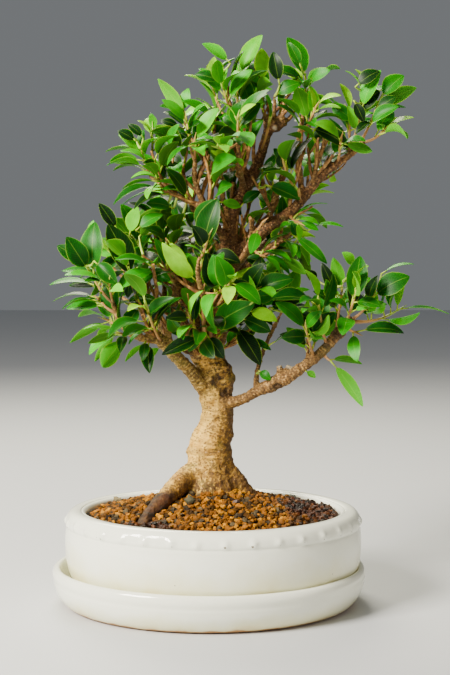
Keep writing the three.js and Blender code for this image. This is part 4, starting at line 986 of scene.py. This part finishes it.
limb_lines = [line for line in [*BRANCHES, TRUNK] if line[-1][2] > TWIG_FROM]
for _ in range(TWIG_TRIES):
    line = rng.choice(limb_lines)
    k = rng.randrange(len(line) - 1)
    (x, y, z, r), (x2, y2, z2, r2) = line[k], line[k + 1]
    t = rng.random()
    start = Vector((x, y, z)).lerp(Vector((x2, y2, z2)), t) * MM
    girth = r + (r2 - r) * t
    if start.z < TWIG_FROM * MM or girth < 1.5 or (start.x > BARE_LIMB * MM and start.z < BARE_TOP * MM):
        continue
    limb = (Vector((x2, y2, z2)) - Vector((x, y, z))).normalized()
    turn = rng.uniform(0, 2 * math.pi)
    side = Matrix.Rotation(turn, 3, limb) @ limb.orthogonal().normalized()
    outward = (start - CROWN_MIDDLE).normalized()
    heading = (side + limb * rng.uniform(0.2, 0.8) + UP * rng.uniform(0.3, 1.1) + outward * 0.5).normalized()
    if heading.z < 0.1:
        continue
    radius = min(0.62 * girth, rng.uniform(0.95, 1.45))
    grown = climb(start, heading, rng.randint(5, 13), radius, taken)
    end = grown[-1][0]
    if len(grown) < 5 or not (in_crown(end) or spray_tree.find_nearest(end)[3] < 5 * MM):
        continue
    if hides_limb(np.array([point for point, _ in grown[2:]])) > 1:
        continue
    own = [grown]
    for _ in range(rng.choice([0, 1, 1, 2])):
        k = rng.randint(2, len(grown) - 2)
        fork = (grown[k][0] - grown[k - 1][0]).normalized()
        bend = Matrix.Rotation(rng.uniform(0.6, 0.95), 3, fork.orthogonal())
        fork = Matrix.Rotation(rng.uniform(0, 6.3), 3, fork) @ (bend @ fork)
        child = climb(grown[k][0], fork, rng.randint(3, 8), 0.8 * grown[k][1], taken)
        if hides_limb(np.array([point for point, _ in child[1:] or child])) > 1:
            continue
        if len(child) > 3 and (in_crown(child[-1][0]) or spray_tree.find_nearest(child[-1][0])[3] < 5 * MM):
            own.append(child)
    twigs += own
    taken += [point for line in own for point, _ in line[1:]]
twig_lines = [[(*(point / MM), radius) for point, radius in line] for line in twigs]
inner_twigs = tubes("inner_twigs", twig_lines, 1, 3)
inner_twigs.data.shade_smooth()
# An older twig is dull, patchy brown and tan, and a little rough.
tan_twig, tree, shader = material("tan_fig_twig", IOR=1.45, Metallic=0.0, Roughness=0.65)
place = add(tree, "TexCoord").outputs["Object"]
blotch = add(tree, "TexNoise", {"Vector": place, "Scale": 1 / (2.5 * MM), "Detail": 4.0})
twig_tone = add(tree, "ValToRGB", {"Fac": blotch},
                stops=[(0.3, "#472a0f"), (0.5, "#8a5d28"), (0.68, "#ba8e4c")])
wire(shader, {"Base Color": twig_tone})
twig_bump = add(tree, "Bump", {"Height": blotch, "Strength": 0.6, "Distance": 0.4 * MM})
wire(shader, {"Normal": twig_bump})
dress(inner_twigs, tan_twig)
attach(inner_twigs, "root")

# Leaves.
# Thick, waxy fig leaves, 15 to 32 mm long, on thin stalks: dark green when old, yellow-green when young,
# paler beneath, folded along a light midrib, with a pale rim. The youngest grow around the tip of a shoot.
STALK = 0.15
HALF_WIDTH = 0.22
THICK = 0.34
ROWS = [0.07, 0.18, 0.33, 0.49, 0.65, 0.8, 0.91, 0.972]
ACROSS = [-1, -0.55, 0, 0.55, 1]
STALK_RINGS = [-0.012, 0.08, 0.19]
STALK_SIDES = 5
STALK_RADIUS = 0.55


def outline(u):
    """Half the blade's width at u along it, as a share of the widest."""
    return (math.sin(math.pi * u ** 0.92) ** 0.72) if 0 < u < 1 else 0


def leaf_pattern():
    """The points of one leaf as (place along it, across it, above its middle, 1 if of the stalk), its faces,
    how much each is underside, and the edges of its rim."""
    points, faces, under = [], [], []
    for s in STALK_RINGS:
        for k in range(STALK_SIDES):
            turn = 2 * math.pi * k / STALK_SIDES
            points.append((s, math.cos(turn), math.sin(turn), 1))
    for ring in range(len(STALK_RINGS) - 1):
        for k in range(STALK_SIDES):
            a, b = ring * STALK_SIDES + k, ring * STALK_SIDES + (k + 1) % STALK_SIDES
            faces.append((a, b, b + STALK_SIDES, a + STALK_SIDES))
    faces.append(tuple(range(STALK_SIDES)))
    faces.append(tuple(len(STALK_RINGS) * STALK_SIDES - 1 - k for k in range(STALK_SIDES)))
    under += [0.5] * len(faces)
    base = len(points)
    points.append((STALK, 0, 0, 0))
    points.append((1, 0, 0, 0))
    sheets = []
    for side in (1, -1):
        grid = []
        for r, u in enumerate(ROWS):
            row = []
            for c, t in enumerate(ACROSS):
                if side < 0 and abs(t) == 1:
                    row.append(sheets[0][r][c])
                    continue
                row.append(len(points))
                points.append((STALK + (1 - STALK) * u, t, side * (0 if abs(t) == 1 else 0.5), 0))
            grid.append(row)
        sheets.append(grid)
        quads = [(grid[r][c], grid[r][c + 1], grid[r + 1][c + 1], grid[r + 1][c])
                 for r in range(len(ROWS) - 1) for c in range(len(ACROSS) - 1)]
        fans = [(base, grid[0][c + 1], grid[0][c]) for c in range(len(ACROSS) - 1)]
        fans += [(base + 1, grid[-1][c], grid[-1][c + 1]) for c in range(len(ACROSS) - 1)]
        sheet = quads + fans
        faces += sheet if side > 0 else [(face[0], *reversed(face[1:])) for face in sheet]
        under += [0.0 if side > 0 else 1.0] * len(sheet)
    rim = {tuple(sorted(pair)) for side in (0, -1) for pair in zip(
        [base, *(row[side] for row in sheets[0]), base + 1], [*(row[side] for row in sheets[0]), base + 1])}
    return np.array(points, float), faces, under, rim


PATTERN, LEAF_FACES, LEAF_UNDER, LEAF_RIM = leaf_pattern()


def grow(foot, along, upper, width, fold, arch, curl, twist):
    """One leaf's points in place: it arches along its length, folds up from the midrib, curls and twists."""
    length = along.length
    right = upper.cross(along).normalized()
    placed = []
    for s, t, lift, stalk in PATTERN:
        bend = 4 * arch * length * s * (1 - s) if s > 0 else 0
        spine = foot + along * s + upper * bend
        turn = twist * max(0, s - STALK)
        side = right * math.cos(turn) + upper * math.sin(turn)
        up = upper * math.cos(turn) - right * math.sin(turn)
        if stalk:
            radius = STALK_RADIUS * MM * (1.15 if s < 0.05 else 0.9 if s < 0.15 else 0.7)
            placed.append(spine + side * t * radius + up * lift * radius)
            continue
        u = (s - STALK) / (1 - STALK)
        reach = width * length * outline(u)
        raised = fold * reach * abs(t) ** 1.5 * (1 - curl * abs(t) ** 2) + lift * THICK * MM
        placed.append(spine + side * reach * t * math.cos(fold * 0.6) + up * raised)
    return np.array(placed)


FRONT, SIDE, UNDER = (-0.2, -1, 0.5), (-0.1, -0.3, 1), (0.1, 1, 0.4)
# The leaves that stand out in the photo, read from it: foot and tip in millimetres, half the width as
# a share of the length, tone from dark to bright, and which way the upper side looks.
# Each given tone is how light the leaf looks where it hangs: partly its own green, partly painted light and
# shade.
SEEN_LEAVES = [
    (87, -6, 311, 101, -8, 320, 0.3, 0.12, FRONT), (104, -6, 314, 96, -8, 300, 0.26, 0.08, FRONT),
    (101, -6, 297, 111, -8, 305, 0.27, 0.2, FRONT), (105, -6, 310, 115, -8, 317, 0.3, 0.45, FRONT),
    (107, -6, 307, 123, -8, 311, 0.2, 0.5, UNDER), (86, -6, 303, 92, -8, 290, 0.24, 0.04, FRONT),
    (88, -6, 285, 82, -8, 300, 0.2, 0.8, FRONT), (61, -6, 284, 80, -8, 273, 0.2, 0.1, FRONT),
    (99, -6, 290, 87, -8, 283, 0.24, 0.12, FRONT), (81, -6, 280, 98, -8, 273, 0.17, 0.55, UNDER),
    (54, -6, 313, 71, -8, 321, 0.22, 0.55, FRONT), (71, -6, 321, 85, -8, 329, 0.15, 0.8, UNDER),
    (41, -6, 306, 54, -8, 313, 0.28, 0.45, FRONT), (22, -6, 322, 33, -8, 341, 0.2, 0.8, FRONT),
    (13, -6, 325, -4, -8, 336, 0.2, 0.7, FRONT), (8, -6, 313, 11, -8, 322, 0.28, 0.8, FRONT),
    (3, -6, 313, -8, -8, 318, 0.25, 0.3, FRONT), (-16, -6, 297, -31, -8, 315, 0.14, 0.8, UNDER),
    (-15, -6, 296, -12, -8, 310, 0.26, 0.7, FRONT), (55, -6, 322, 47, -8, 337, 0.2, 0.4, FRONT),
    (-39, -6, 281, -48, -8, 289, 0.24, 0.1, FRONT), (-43, -6, 279, -54, -8, 285, 0.27, 0.08, FRONT),
    (-42, -6, 266, -50, -8, 279, 0.3, 0.6, FRONT), (-39, -6, 260, -60, -8, 267, 0.2, 0.6, UNDER),
    (-16, -6, 276, -32, -8, 288, 0.2, 0.7, UNDER), (-17, -6, 287, -29, -8, 291, 0.2, 0.08, FRONT),
    (-8, -6, 277, -25, -8, 265, 0.15, 0.45, SIDE), (3, -6, 272, -8, -8, 283, 0.26, 0.3, FRONT),
    (-11, -6, 262, -30, -8, 266, 0.14, 0.05, FRONT), (9, -6, 270, 9, -8, 283, 0.24, 0.5, FRONT),
    (6, -6, 290, 8, -8, 298, 0.3, 1, FRONT), (1, -6, 284, 0, -8, 293, 0.25, 1, FRONT),
    (32, -6, 296, 26, -8, 305, 0.2, 0.6, UNDER), (43, -6, 262, 43, -8, 272, 0.32, 0.12, FRONT),
    (-54, -10, 226, -65, -14, 242, 0.2, 0.03, FRONT), (-47, -10, 223, -42, -14, 240, 0.24, 0.85, FRONT),
    (-70, -10, 221, -68, -14, 232, 0.22, 0.75, FRONT), (-56, -10, 208, -52, -14, 223, 0.34, 0.75, FRONT),
    (-69, -10, 208, -84, -14, 223, 0.26, 0.25, FRONT), (-78, -10, 204, -88, -14, 220, 0.22, 0.25, FRONT),
    (-58, -10, 191, -87, -14, 202, 0.17, 0.5, SIDE), (-67, -10, 195, -95, -14, 194, 0.13, 0.5, SIDE),
    (-58, -10, 192, -71, -14, 203, 0.17, 0.6, FRONT), (-64, -10, 183, -92, -14, 184, 0.17, 0.35, SIDE),
    (-58, -10, 179, -86, -14, 180, 0.15, 0.35, SIDE), (-61, -10, 173, -82, -14, 159, 0.11, 0.5, UNDER),
    (-54, -10, 166, -71, -14, 158, 0.13, 0.35, UNDER), (-46, -10, 165, -63, -14, 144, 0.24, 0.6, UNDER),
    (-55, -10, 165, -68, -14, 148, 0.12, 0.6, UNDER), (-40, -10, 160, -50, -14, 148, 0.12, 0.6, UNDER),
    (-28, -10, 157, -39, -14, 148, 0.2, 0.55, UNDER), (-51, -10, 184, -28, -14, 183, 0.17, 0.4, FRONT),
    (-25, -10, 220, -12, -14, 204, 0.14, 0.98, FRONT), (-25, -10, 241, -44, -14, 226, 0.18, 0.45, UNDER),
    (-21, -10, 239, -37, -14, 242, 0.25, 0.35, FRONT), (-32, -10, 248, -51, -14, 241, 0.12, 0.5, SIDE),
    (-34, -10, 253, -51, -14, 249, 0.15, 0.45, SIDE), (-8, -10, 226, 3, -14, 245, 0.25, 0.35, FRONT),
    (-5, -10, 164, -18, -14, 159, 0.24, 0.3, FRONT), (-2, -10, 164, 9, -14, 150, 0.26, 0.12, FRONT),
    (87, -8, 205, 79, -12, 213, 0.3, 0.8, FRONT), (82, -8, 196, 75, -12, 210, 0.2, 0.7, UNDER),
    (82, -8, 197, 95, -12, 205, 0.15, 0.95, FRONT), (98, -8, 189, 120, -12, 199, 0.28, 0.35, FRONT),
    (103, -8, 200, 122, -12, 206, 0.12, 0.6, SIDE), (92, -8, 185, 99, -12, 196, 0.2, 0.12, FRONT),
    (113, -8, 178, 141, -12, 179, 0.1, 0.5, SIDE), (97, -8, 168, 117, -12, 165, 0.16, 0.2, FRONT),
    (88, -8, 163, 109, -12, 134, 0.16, 0.6, UNDER), (68, -8, 149, 92, -12, 121, 0.13, 0.65, UNDER),
    (73, -8, 153, 92, -12, 147, 0.13, 0.45, UNDER), (65, -8, 196, 58, -12, 202, 0.3, 0.03, FRONT),
    (77, -8, 185, 67, -12, 207, 0.15, 0.04, FRONT), (49, -8, 224, 69, -12, 206, 0.13, 0.45, FRONT),
    (59, -8, 226, 80, -12, 228, 0.12, 0.6, SIDE), (51, -8, 238, 65, -12, 229, 0.18, 0.5, FRONT),
    (53, -8, 222, 49, -12, 231, 0.28, 0.3, FRONT), (54, -8, 244, 70, -12, 242, 0.1, 0.6, SIDE),
    (34, -8, 253, 54, -12, 244, 0.26, 0.3, FRONT), (17, -8, 167, 26, -12, 152, 0.12, 0.55, UNDER),
    (18, -8, 167, 29, -12, 156, 0.2, 0.06, FRONT), (-4, -8, 164, 8, -12, 150, 0.25, 0.08, FRONT),
    (-6, -16, 195, -27, -30, 219, 0.17, 0.97, (-0.5, -0.7, 0.5)),
    (-3, -14, 191, -12, -14, 211, 0.3, 0.6, UNDER), (-4, -16, 189, -40, -26, 203, 0.15, 0.3, SIDE),
    (-4, -14, 173, -9, -10, 189, 0.2, 0.65, UNDER), (-2, -12, 176, 10, -8, 185, 0.26, 0.12, FRONT),
    (7, -10, 191, 30, -24, 203, 0.17, 0.97, SIDE), (-1, -12, 180, 26, -22, 189, 0.14, 0.6, SIDE),
    (10, -4, 169, 12, 2, 180, 0.34, 0.03, FRONT), (16, -4, 171, 19, -4, 185, 0.32, 0.05, FRONT),
    (-9, -6, 173, -22, -10, 171, 0.24, 0.06, FRONT), (-13, -4, 178, -23, -6, 175, 0.28, 0.1, FRONT),
    (-28, -22, 184, -47, -26, 184, 0.2, 0.5, SIDE), (-37, -22, 182, -44, -30, 164, 0.26, 0.3, FRONT),
    (1, -16, 226, -2, -22, 234, 0.27, 0.97, FRONT), (1, -16, 226, 8, -20, 237, 0.26, 0.7, FRONT),
    (8, -8, 245, 19, -12, 240, 0.22, 0.7, UNDER), (42, -8, 312, 38, -10, 331, 0.25, 0.08, FRONT),
    (13, -12, 287, 23, -16, 286, 0.2, 0.85, SIDE), (-66, -34, 208, -52, -40, 195, 0.27, 0.3, FRONT),
    (-43, -18, 205, -48, -16, 186, 0.24, 0.12, FRONT), (-26, 0, 214, -2, 0, 214, 0.16, 0.3, SIDE),
    (0, -8, 214, 19, -12, 207, 0.28, 0.04, FRONT), (-7, -4, 211, -10, -4, 225, 0.3, 0.06, FRONT),
    (-2, -6, 203, -6, -6, 214, 0.3, 0.06, FRONT), (-16, -8, 235, -8, -8, 236, 0.24, 0.55, SIDE),
    (-43, -14, 226, -21, -10, 239, 0.24, 0.45, FRONT), (-41, -18, 222, -33, -14, 231, 0.24, 0.4, UNDER),
    (23, -6, 213, 34, -10, 206, 0.28, 0.2, FRONT), (34, -4, 199, 42, -4, 208, 0.3, 0.5, UNDER),
    (41, -6, 210, 58, -10, 200, 0.2, 0.5, UNDER), (36, -8, 191, 50, -12, 198, 0.24, 0.3, FRONT),
    (59, -14, 187, 37, -18, 182, 0.24, 0.04, FRONT), (51, -14, 179, 63, -18, 170, 0.26, 0.1, FRONT),
    (36, -4, 157, 64, -16, 163, 0.17, 0.35, SIDE), (58, -11, 154, 48, -10, 166, 0.2, 0.5, UNDER),
    (58, -11, 154, 46, -8, 157, 0.24, 0.1, FRONT), (20, 2, 240, 31, 2, 250, 0.24, 0.3, FRONT),
    (23, 0, 217, 32, 0, 223, 0.3, 0.2, FRONT), (11, 6, 251, 16, 8, 263, 0.28, 0.08, FRONT),
    (25, 6, 260, 32, 6, 269, 0.3, 0.15, FRONT), (30, -7, 142, 37, -12, 137, 0.3, 0.45, FRONT),
    (57, -14, 143, 63.5, -15, 138.5, 0.34, 0.5, UNDER),
]
REACH = 19
SAME = 6
YOUNG_WITHIN = 28 * MM
YOUNG_LENGTH = 20
BACK_FROM = 30
TONES = ["#021604", "#042a04", "#084404", "#106402", "#1e8400", "#379e00", "#5cb400", "#8cca00"]
SUN = Vector((-0.2, -0.5, 1))
OUTLINE_SLACK = 7
CROWN_REACH = (95, 70, 125)
planted = []


def plant(name, foot, along, upper, age, rng, width=None, tone=None):
    """Grows a leaf on a spray and counts it with the planted ones. Age runs from 0, just open, to 1. A tone
    that is given is its place in TONES, from 0 to 1."""
    width = width or HALF_WIDTH * rng.uniform(0.78, 1.14)
    points = grow(foot, along, upper, width, rng.uniform(0.15, 0.75), ARCH * rng.uniform(0.8, 1.6),
                  rng.uniform(0.1, 0.5), rng.uniform(-0.5, 0.5))
    planted.append({"spray": name, "points": points, "low": points.min(0), "high": points.max(0), "age": age,
                    "tone": tone, "tree": None})
    return planted[-1]


def leaf_tree(leaf):
    """A leaf's faces, sorted for finding what they cut, made when first asked for."""
    if leaf["tree"] is None:
        leaf["tree"] = BVHTree.FromPolygons([Vector(p) for p in leaf["points"]], LEAF_FACES)
    return leaf["tree"]


twig_tree = tree_of(inner_twigs)
STALK_FACES = (len(STALK_RINGS) - 1) * STALK_SIDES + 2


def is_free(leaf, edge=0.3, may_hide=5, on_wood=False):
    """Whether a new leaf is inside the box and clear of the wood and of every leaf before it. One that grows
    straight from the wood may touch it with its stalk."""
    low, high = leaf["low"], leaf["high"]
    if (low < np.array(cad_box[0]) + edge * MM).any() or (high > np.array(cad_box[1]) - edge * MM).any():
        return False
    if hides_limb(leaf["points"]) > may_hide:
        return False
    if any(face >= STALK_FACES or not on_wood for face, _ in leaf_tree(leaf).overlap(wood_tree)):
        return False
    if any(face >= STALK_FACES for face, _ in leaf_tree(leaf).overlap(twig_tree)):
        return False
    return not any((low < other["high"]).all() and (other["low"] < high).all()
                   and leaf_tree(leaf).overlap(leaf_tree(other)) for other in planted if other is not leaf)


def anyway(rng):
    """A vector that may point any way."""
    return Vector([rng.gauss(0, 1) for _ in range(3)])


def squared(upper, along):
    """An upward side made square to the leaf's length."""
    return (upper - along * (upper.dot(along) / along.length_squared)).normalized()


def facing(along, outward, rng):
    """The upward side of a leaf, turned to the light and outward, with some chance."""
    return squared(SUN + 0.4 * outward.normalized() + 0.45 * anyway(rng), along)


def apart(a, b):
    """How far apart two points are as seen from the front."""
    return math.hypot(a.x - b.x, a.z - b.z)


rng = random.Random(7)
rooted = [wood_tree, tree_of(shoots), twig_tree]
stalks, seen_in_solids, still_to_grow = [], set(), []
for *ends, width, tone, upper in SEEN_LEAVES:
    foot, tip, upper = Vector(ends[:3]) * MM, Vector(ends[3:]) * MM, Vector(upper)
    off, name, k = min((apart(base + along, tip) + 0.4 * apart(base, foot), name, k) for name in spray_names
                       for k, (base, along, _) in enumerate(cad_leaves[name])
                       if base.y < BACK_FROM * MM and (name, k) not in seen_in_solids)
    if off > SAME * MM:
        still_to_grow.append((foot, tip, width, tone, upper))
        continue
    base, along, _ = cad_leaves[name][k]
    for further in range(1, 11):
        tilt = upper + 0.08 * further * anyway(rng)
        leaf = plant(name, base, along, squared(tilt, along), 0.5, rng, width, tone)
        if is_free(leaf, edge=-0.02, may_hide=99):
            seen_in_solids.add((name, k))
            break
        planted.pop()
for foot, tip, width, tone, upper in still_to_grow:
    near, _, _, gap = min((tree.find_nearest(foot) for tree in rooted), key=lambda found: found[3])
    if gap > REACH * MM:
        continue
    for k in range(14):
        shift = Vector([rng.gauss(0, 0.5 * k) for _ in range(3)]) * MM
        start = foot if gap > 5 * MM else near
        along = tip + shift - start
        leaf = plant("inner", start, along, squared(upper, along), 0.5, rng, width, tone)
        if is_free(leaf, may_hide=99, on_wood=True):
            if start == foot:
                bow = near.lerp(foot, 0.5) + Vector((0, 0, -0.12 * gap))
                stalks.append([(*(near / MM), 0.9), (*(bow / MM), 0.75), (*(foot / MM), 0.5)])
            break
        planted.pop()
leaf_shoots = tubes("leaf_shoots", stalks, 1, 3)
leaf_shoots.data.shade_smooth()
dress(leaf_shoots, stem_bark)
mark(leaf_shoots.data, "stem_fresh", [0.75] * len(leaf_shoots.data.vertices))
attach(leaf_shoots, "root")

for name in spray_names:
    for k, (foot, along, upper) in enumerate(cad_leaves[name]):
        if (name, k) in seen_in_solids:
            continue
        near = min(((foot - end).length for end, _ in stem_ends[name]), default=YOUNG_WITHIN)
        age = min(1, max(near / YOUNG_WITHIN, (along.length / MM - YOUNG_LENGTH) / 9))
        for _ in range(12):
            turned = facing(along, foot - CROWN_MIDDLE, rng)
            leaf = plant(name, foot, along, (turned + 0.3 * upper).normalized(), age, rng)
            if is_free(leaf, edge=-0.02):
                break
            planted.pop()
    if all(leaf["spray"] != name for leaf in planted):
        plant(name, *cad_leaves[name][0], 0.5, rng)


def try_leaf(name, foot, direction, length, age):
    """Adds a leaf where there is room for it."""
    upper = facing(direction, foot - CROWN_MIDDLE, rng)
    leaf = plant(name, foot, direction.normalized() * length, upper, age, rng)
    tip = foot + direction.normalized() * length
    inside = in_crown(tip) or spray_tree.find_nearest(tip)[3] < OUTLINE_SLACK * MM
    if not inside or not is_free(leaf):
        planted.pop()


for name in spray_names:
    for end, axis in stem_ends[name]:
        side = axis.orthogonal().normalized()
        start = rng.uniform(0, 2 * math.pi)
        for k in range(7):
            turn = Matrix.Rotation(start + k * 2.4, 3, axis)
            spread = rng.uniform(0.45, 0.95)
            direction = axis * math.cos(spread) + (turn @ side) * math.sin(spread)
            length = rng.uniform(14, 24) * MM
            try_leaf(name, end - axis * rng.uniform(0, 3) * MM, direction, length, rng.uniform(0, 0.35))

for line in twigs:
    for k in range(rng.choice([12, 16, 20, 24])):
        back = rng.randint(1, max(1, len(line) * 2 // 3))
        (low, thin), (top, _) = line[-back - 1], line[-back]
        axis = (top - low).normalized()
        side = Matrix.Rotation(rng.uniform(0, 2 * math.pi), 3, axis) @ axis.orthogonal().normalized()
        spread = rng.uniform(0.5, 1.3)
        direction = axis * math.cos(spread) + side * math.sin(spread)
        length = rng.uniform(17, 29) * MM
        foot = low.lerp(top, rng.random()) + side * 0.5 * thin * MM
        try_leaf("inner", foot, direction, length, rng.uniform(0.3, 1))

for name in spray_names:
    good = [(p.center.copy(), p.normal.copy()) for p in stems[name].polygons
            if wood_tree.find_nearest(p.center)[3] > 5 * MM]
    for _ in range(60 if good else 0):
        centre, out = rng.choice(good)
        ahead = min((end - centre for end, _ in stem_ends[name]), key=lambda a: a.length, default=out)
        if ahead.length < 2 * MM:
            continue
        spread = rng.uniform(0.7, 1.35)
        direction = ahead.normalized() * math.cos(spread) + out * math.sin(spread)
        direction += UP * rng.uniform(-0.1, 0.3)
        length = rng.uniform(18, 28) * MM
        try_leaf(name, centre - out * 0.3 * MM, direction, length, rng.uniform(0.4, 1))

# Wax gives the leaf a soft sheen over deep green, and light glows through it. Its midrib and rim are paler,
# its side veins barely show, and its underside is yellower and duller.
leaf_look, tree, shader = material("waxy_fig_leaf", IOR=1.4, Metallic=0.0, Subsurface_Weight=0.24,
                                   Subsurface_Scale=1.2 * MM, Specular_IOR_Level=0.2)
shader.inputs["Subsurface Radius"].default_value = (0.5, 1.0, 0.1)
tone = add(tree, "Attribute", attribute_name="leaf_tone")
below = add(tree, "Attribute", attribute_name="leaf_under").outputs["Fac"]
spot = add(tree, "SeparateXYZ", {"Vector": add(tree, "UVMap", uv_map="leaf_uv")})
centred = add(tree, "Math", [spot.outputs["X"], 0.5], operation="SUBTRACT")
off_middle = add(tree, "Math", [centred], operation="ABSOLUTE")
place = add(tree, "TexCoord").outputs["Object"]
cloud = add(tree, "TexNoise", {"Vector": place, "Scale": 1 / (7 * MM), "Detail": 3.0})
clouds = add(tree, "MapRange", [cloud, 0.3, 0.7, 0.78, 1.2])
top = add(tree, "Mix", {0: 1.0, 6: tone, 7: clouds}, data_type="RGBA", blend_type="MULTIPLY")
pale = add(tree, "Mix", {0: 0.42, 6: tone, 7: linear("#4f860c")}, data_type="RGBA")
rib = add(tree, "MapRange", [off_middle, 0.022, 0.008, 0, 0.3])
slant = add(tree, "Math", [off_middle, -0.55, spot.outputs["Y"]], operation="MULTIPLY_ADD")
veins = add(tree, "Math", [slant, 88.0], operation="MULTIPLY")
wave = add(tree, "Math", [veins], operation="SINE")
vein = add(tree, "MapRange", [wave, 0.8, 1.0, 0, 0.035])
lines = add(tree, "Math", [rib, vein], operation="MAXIMUM")
rim = add(tree, "MapRange", [off_middle, 0.462, 0.492, 0, 0.36])
stalk = add(tree, "MapRange", [spot.outputs["Y"], STALK + 0.05, STALK - 0.02])
surface = add(tree, "Mix", {0: below, 6: top, 7: pale}, data_type="RGBA")
for share, code in ((lines, "#8fb83a"), (rim, "#94c038"), (stalk, "#a2b832")):
    surface = add(tree, "Mix", {0: share, 6: surface, 7: linear(code)}, data_type="RGBA")
wire(shader, {"Base Color": surface})
waxed = add(tree, "MapRange", [below, 0, 1, 0.4, 0.6])
wire(shader, {"Roughness": waxed})
veined = add(tree, "Bump", {"Height": rib, "Strength": 0.3, "Distance": 0.2 * MM})
wire(shader, {"Normal": veined})

for name in [*spray_names, "inner"]:
    own = [leaf for leaf in planted if leaf["spray"] == name]
    count = len(PATTERN)
    points = np.concatenate([leaf["points"] for leaf in own])
    faces = [tuple(i + n * count for i in face) for n in range(len(own)) for face in LEAF_FACES]
    mesh = bpy.data.meshes.new(f"{name}_leaves")
    mesh.from_pydata(points, [], faces)
    tones = []
    for leaf in own:
        # Painted shade and light: leaves deep in the crown are painted darker and those in the open lighter.
        # Younger leaves are lighter in their own colour.
        outer = (Vector(leaf["points"].mean(0)) - CROWN_MIDDLE) / MM
        outer_light = math.hypot(*(a / b for a, b in zip(outer, CROWN_REACH))) - 0.65
        shade = 0.62 * (1 - leaf["age"]) ** 2 + 0.45 * outer_light + rng.gauss(0.26, 0.15)
        shade = min(0.999, max(0, shade if leaf["tone"] is None else leaf["tone"]))
        place_in = shade * (len(TONES) - 1)
        a, b = (Vector(linear(TONES[int(place_in) + k])) for k in (0, 1))
        mixed = a.lerp(b, place_in % 1) * rng.uniform(0.85, 1.15)
        tones += [(mixed.x, mixed.y, mixed.z, 1)] * count
    mark(mesh, "leaf_tone", np.ravel(tones), "FLOAT_COLOR")
    mark(mesh, "leaf_under", LEAF_UNDER * len(own), domain="FACE")
    uv = mesh.uv_layers.new(name="leaf_uv")
    for corner in mesh.loops:
        s, t, _, stalk = PATTERN[corner.vertex_index % count]
        uv.data[corner.index].uv = (0.5 if stalk else 0.5 + 0.5 * t, max(0, s))
    mesh.shade_smooth()
    sharp = mesh.attributes.new("sharp_edge", "BOOLEAN", "EDGE")
    for edge in mesh.edges:
        a, b = edge.vertices
        sharp.data[edge.index].value = tuple(sorted((a % count, b % count))) in LEAF_RIM
    mesh.materials.append(leaf_look)
    piece = link(f"{name}_leaves", mesh)
    only(piece)
    bpy.ops.object.mode_set(mode="EDIT")
    bpy.ops.mesh.select_all(action="SELECT")
    bpy.ops.mesh.normals_make_consistent(inside=False)
    bpy.ops.object.mode_set(mode="OBJECT")
    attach(piece, "root")
    if name != "inner":
        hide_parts(name)

# Where it stands.
# A plain pale table top under soft studio light: a broad lamp from the front left, a weaker one from the
# right, and one high behind the tree that shines through the leaves.
bpy.ops.mesh.primitive_plane_add(size=8)
floor = bpy.context.object
floor.name = "table_top"
# Matt paint makes an even ground without clear reflections.
matt, tree, shader = material("matt_painted_board", IOR=1.45, Metallic=0.0, Roughness=0.6)
shader.inputs["Base Color"].default_value = linear("#c9cbcd")
floor.data.materials.append(matt)

world = bpy.data.worlds.new("studio")
world.use_nodes = True
world.node_tree.nodes["Background"].inputs["Color"].default_value = linear("#d3d8dc")
world.node_tree.nodes["Background"].inputs["Strength"].default_value = 0.26
bpy.context.scene.world = world

LAMPS = [
    ("front_left", (-0.85, -0.7, 0.8), 0.45, 58.0, "#fff8ea"),
    ("front_right", (0.95, -0.7, 0.6), 0.7, 2.5, "#ffe9cf"),
    ("behind", (-0.2, 0.75, 0.95), 0.6, 20.0, "#fff8e0"),
]
for name, spot_place, size, power, code in LAMPS:
    lamp = bpy.data.lights.new(name, "AREA")
    lamp.size = size
    lamp.energy = power
    lamp.color = linear(code)[:3]
    holder = link(name, lamp)
    holder.location = spot_place
    holder.rotation_euler = (Vector((0, 0, 0.17)) - Vector(spot_place)).to_track_quat("-Z", "Y").to_euler()

LENS_PIXELS = 1333
PHOTO_HEIGHT = 675
camera = bpy.data.cameras.new("camera")
camera.sensor_width = 36
camera.lens = 36 * LENS_PIXELS / PHOTO_HEIGHT
viewer = link("camera", camera)
viewer.location = (0.0096, -0.805, 0.214)
viewer.rotation_euler = (math.pi / 2 - 0.065, 0, 0)
bpy.context.scene.camera = viewer
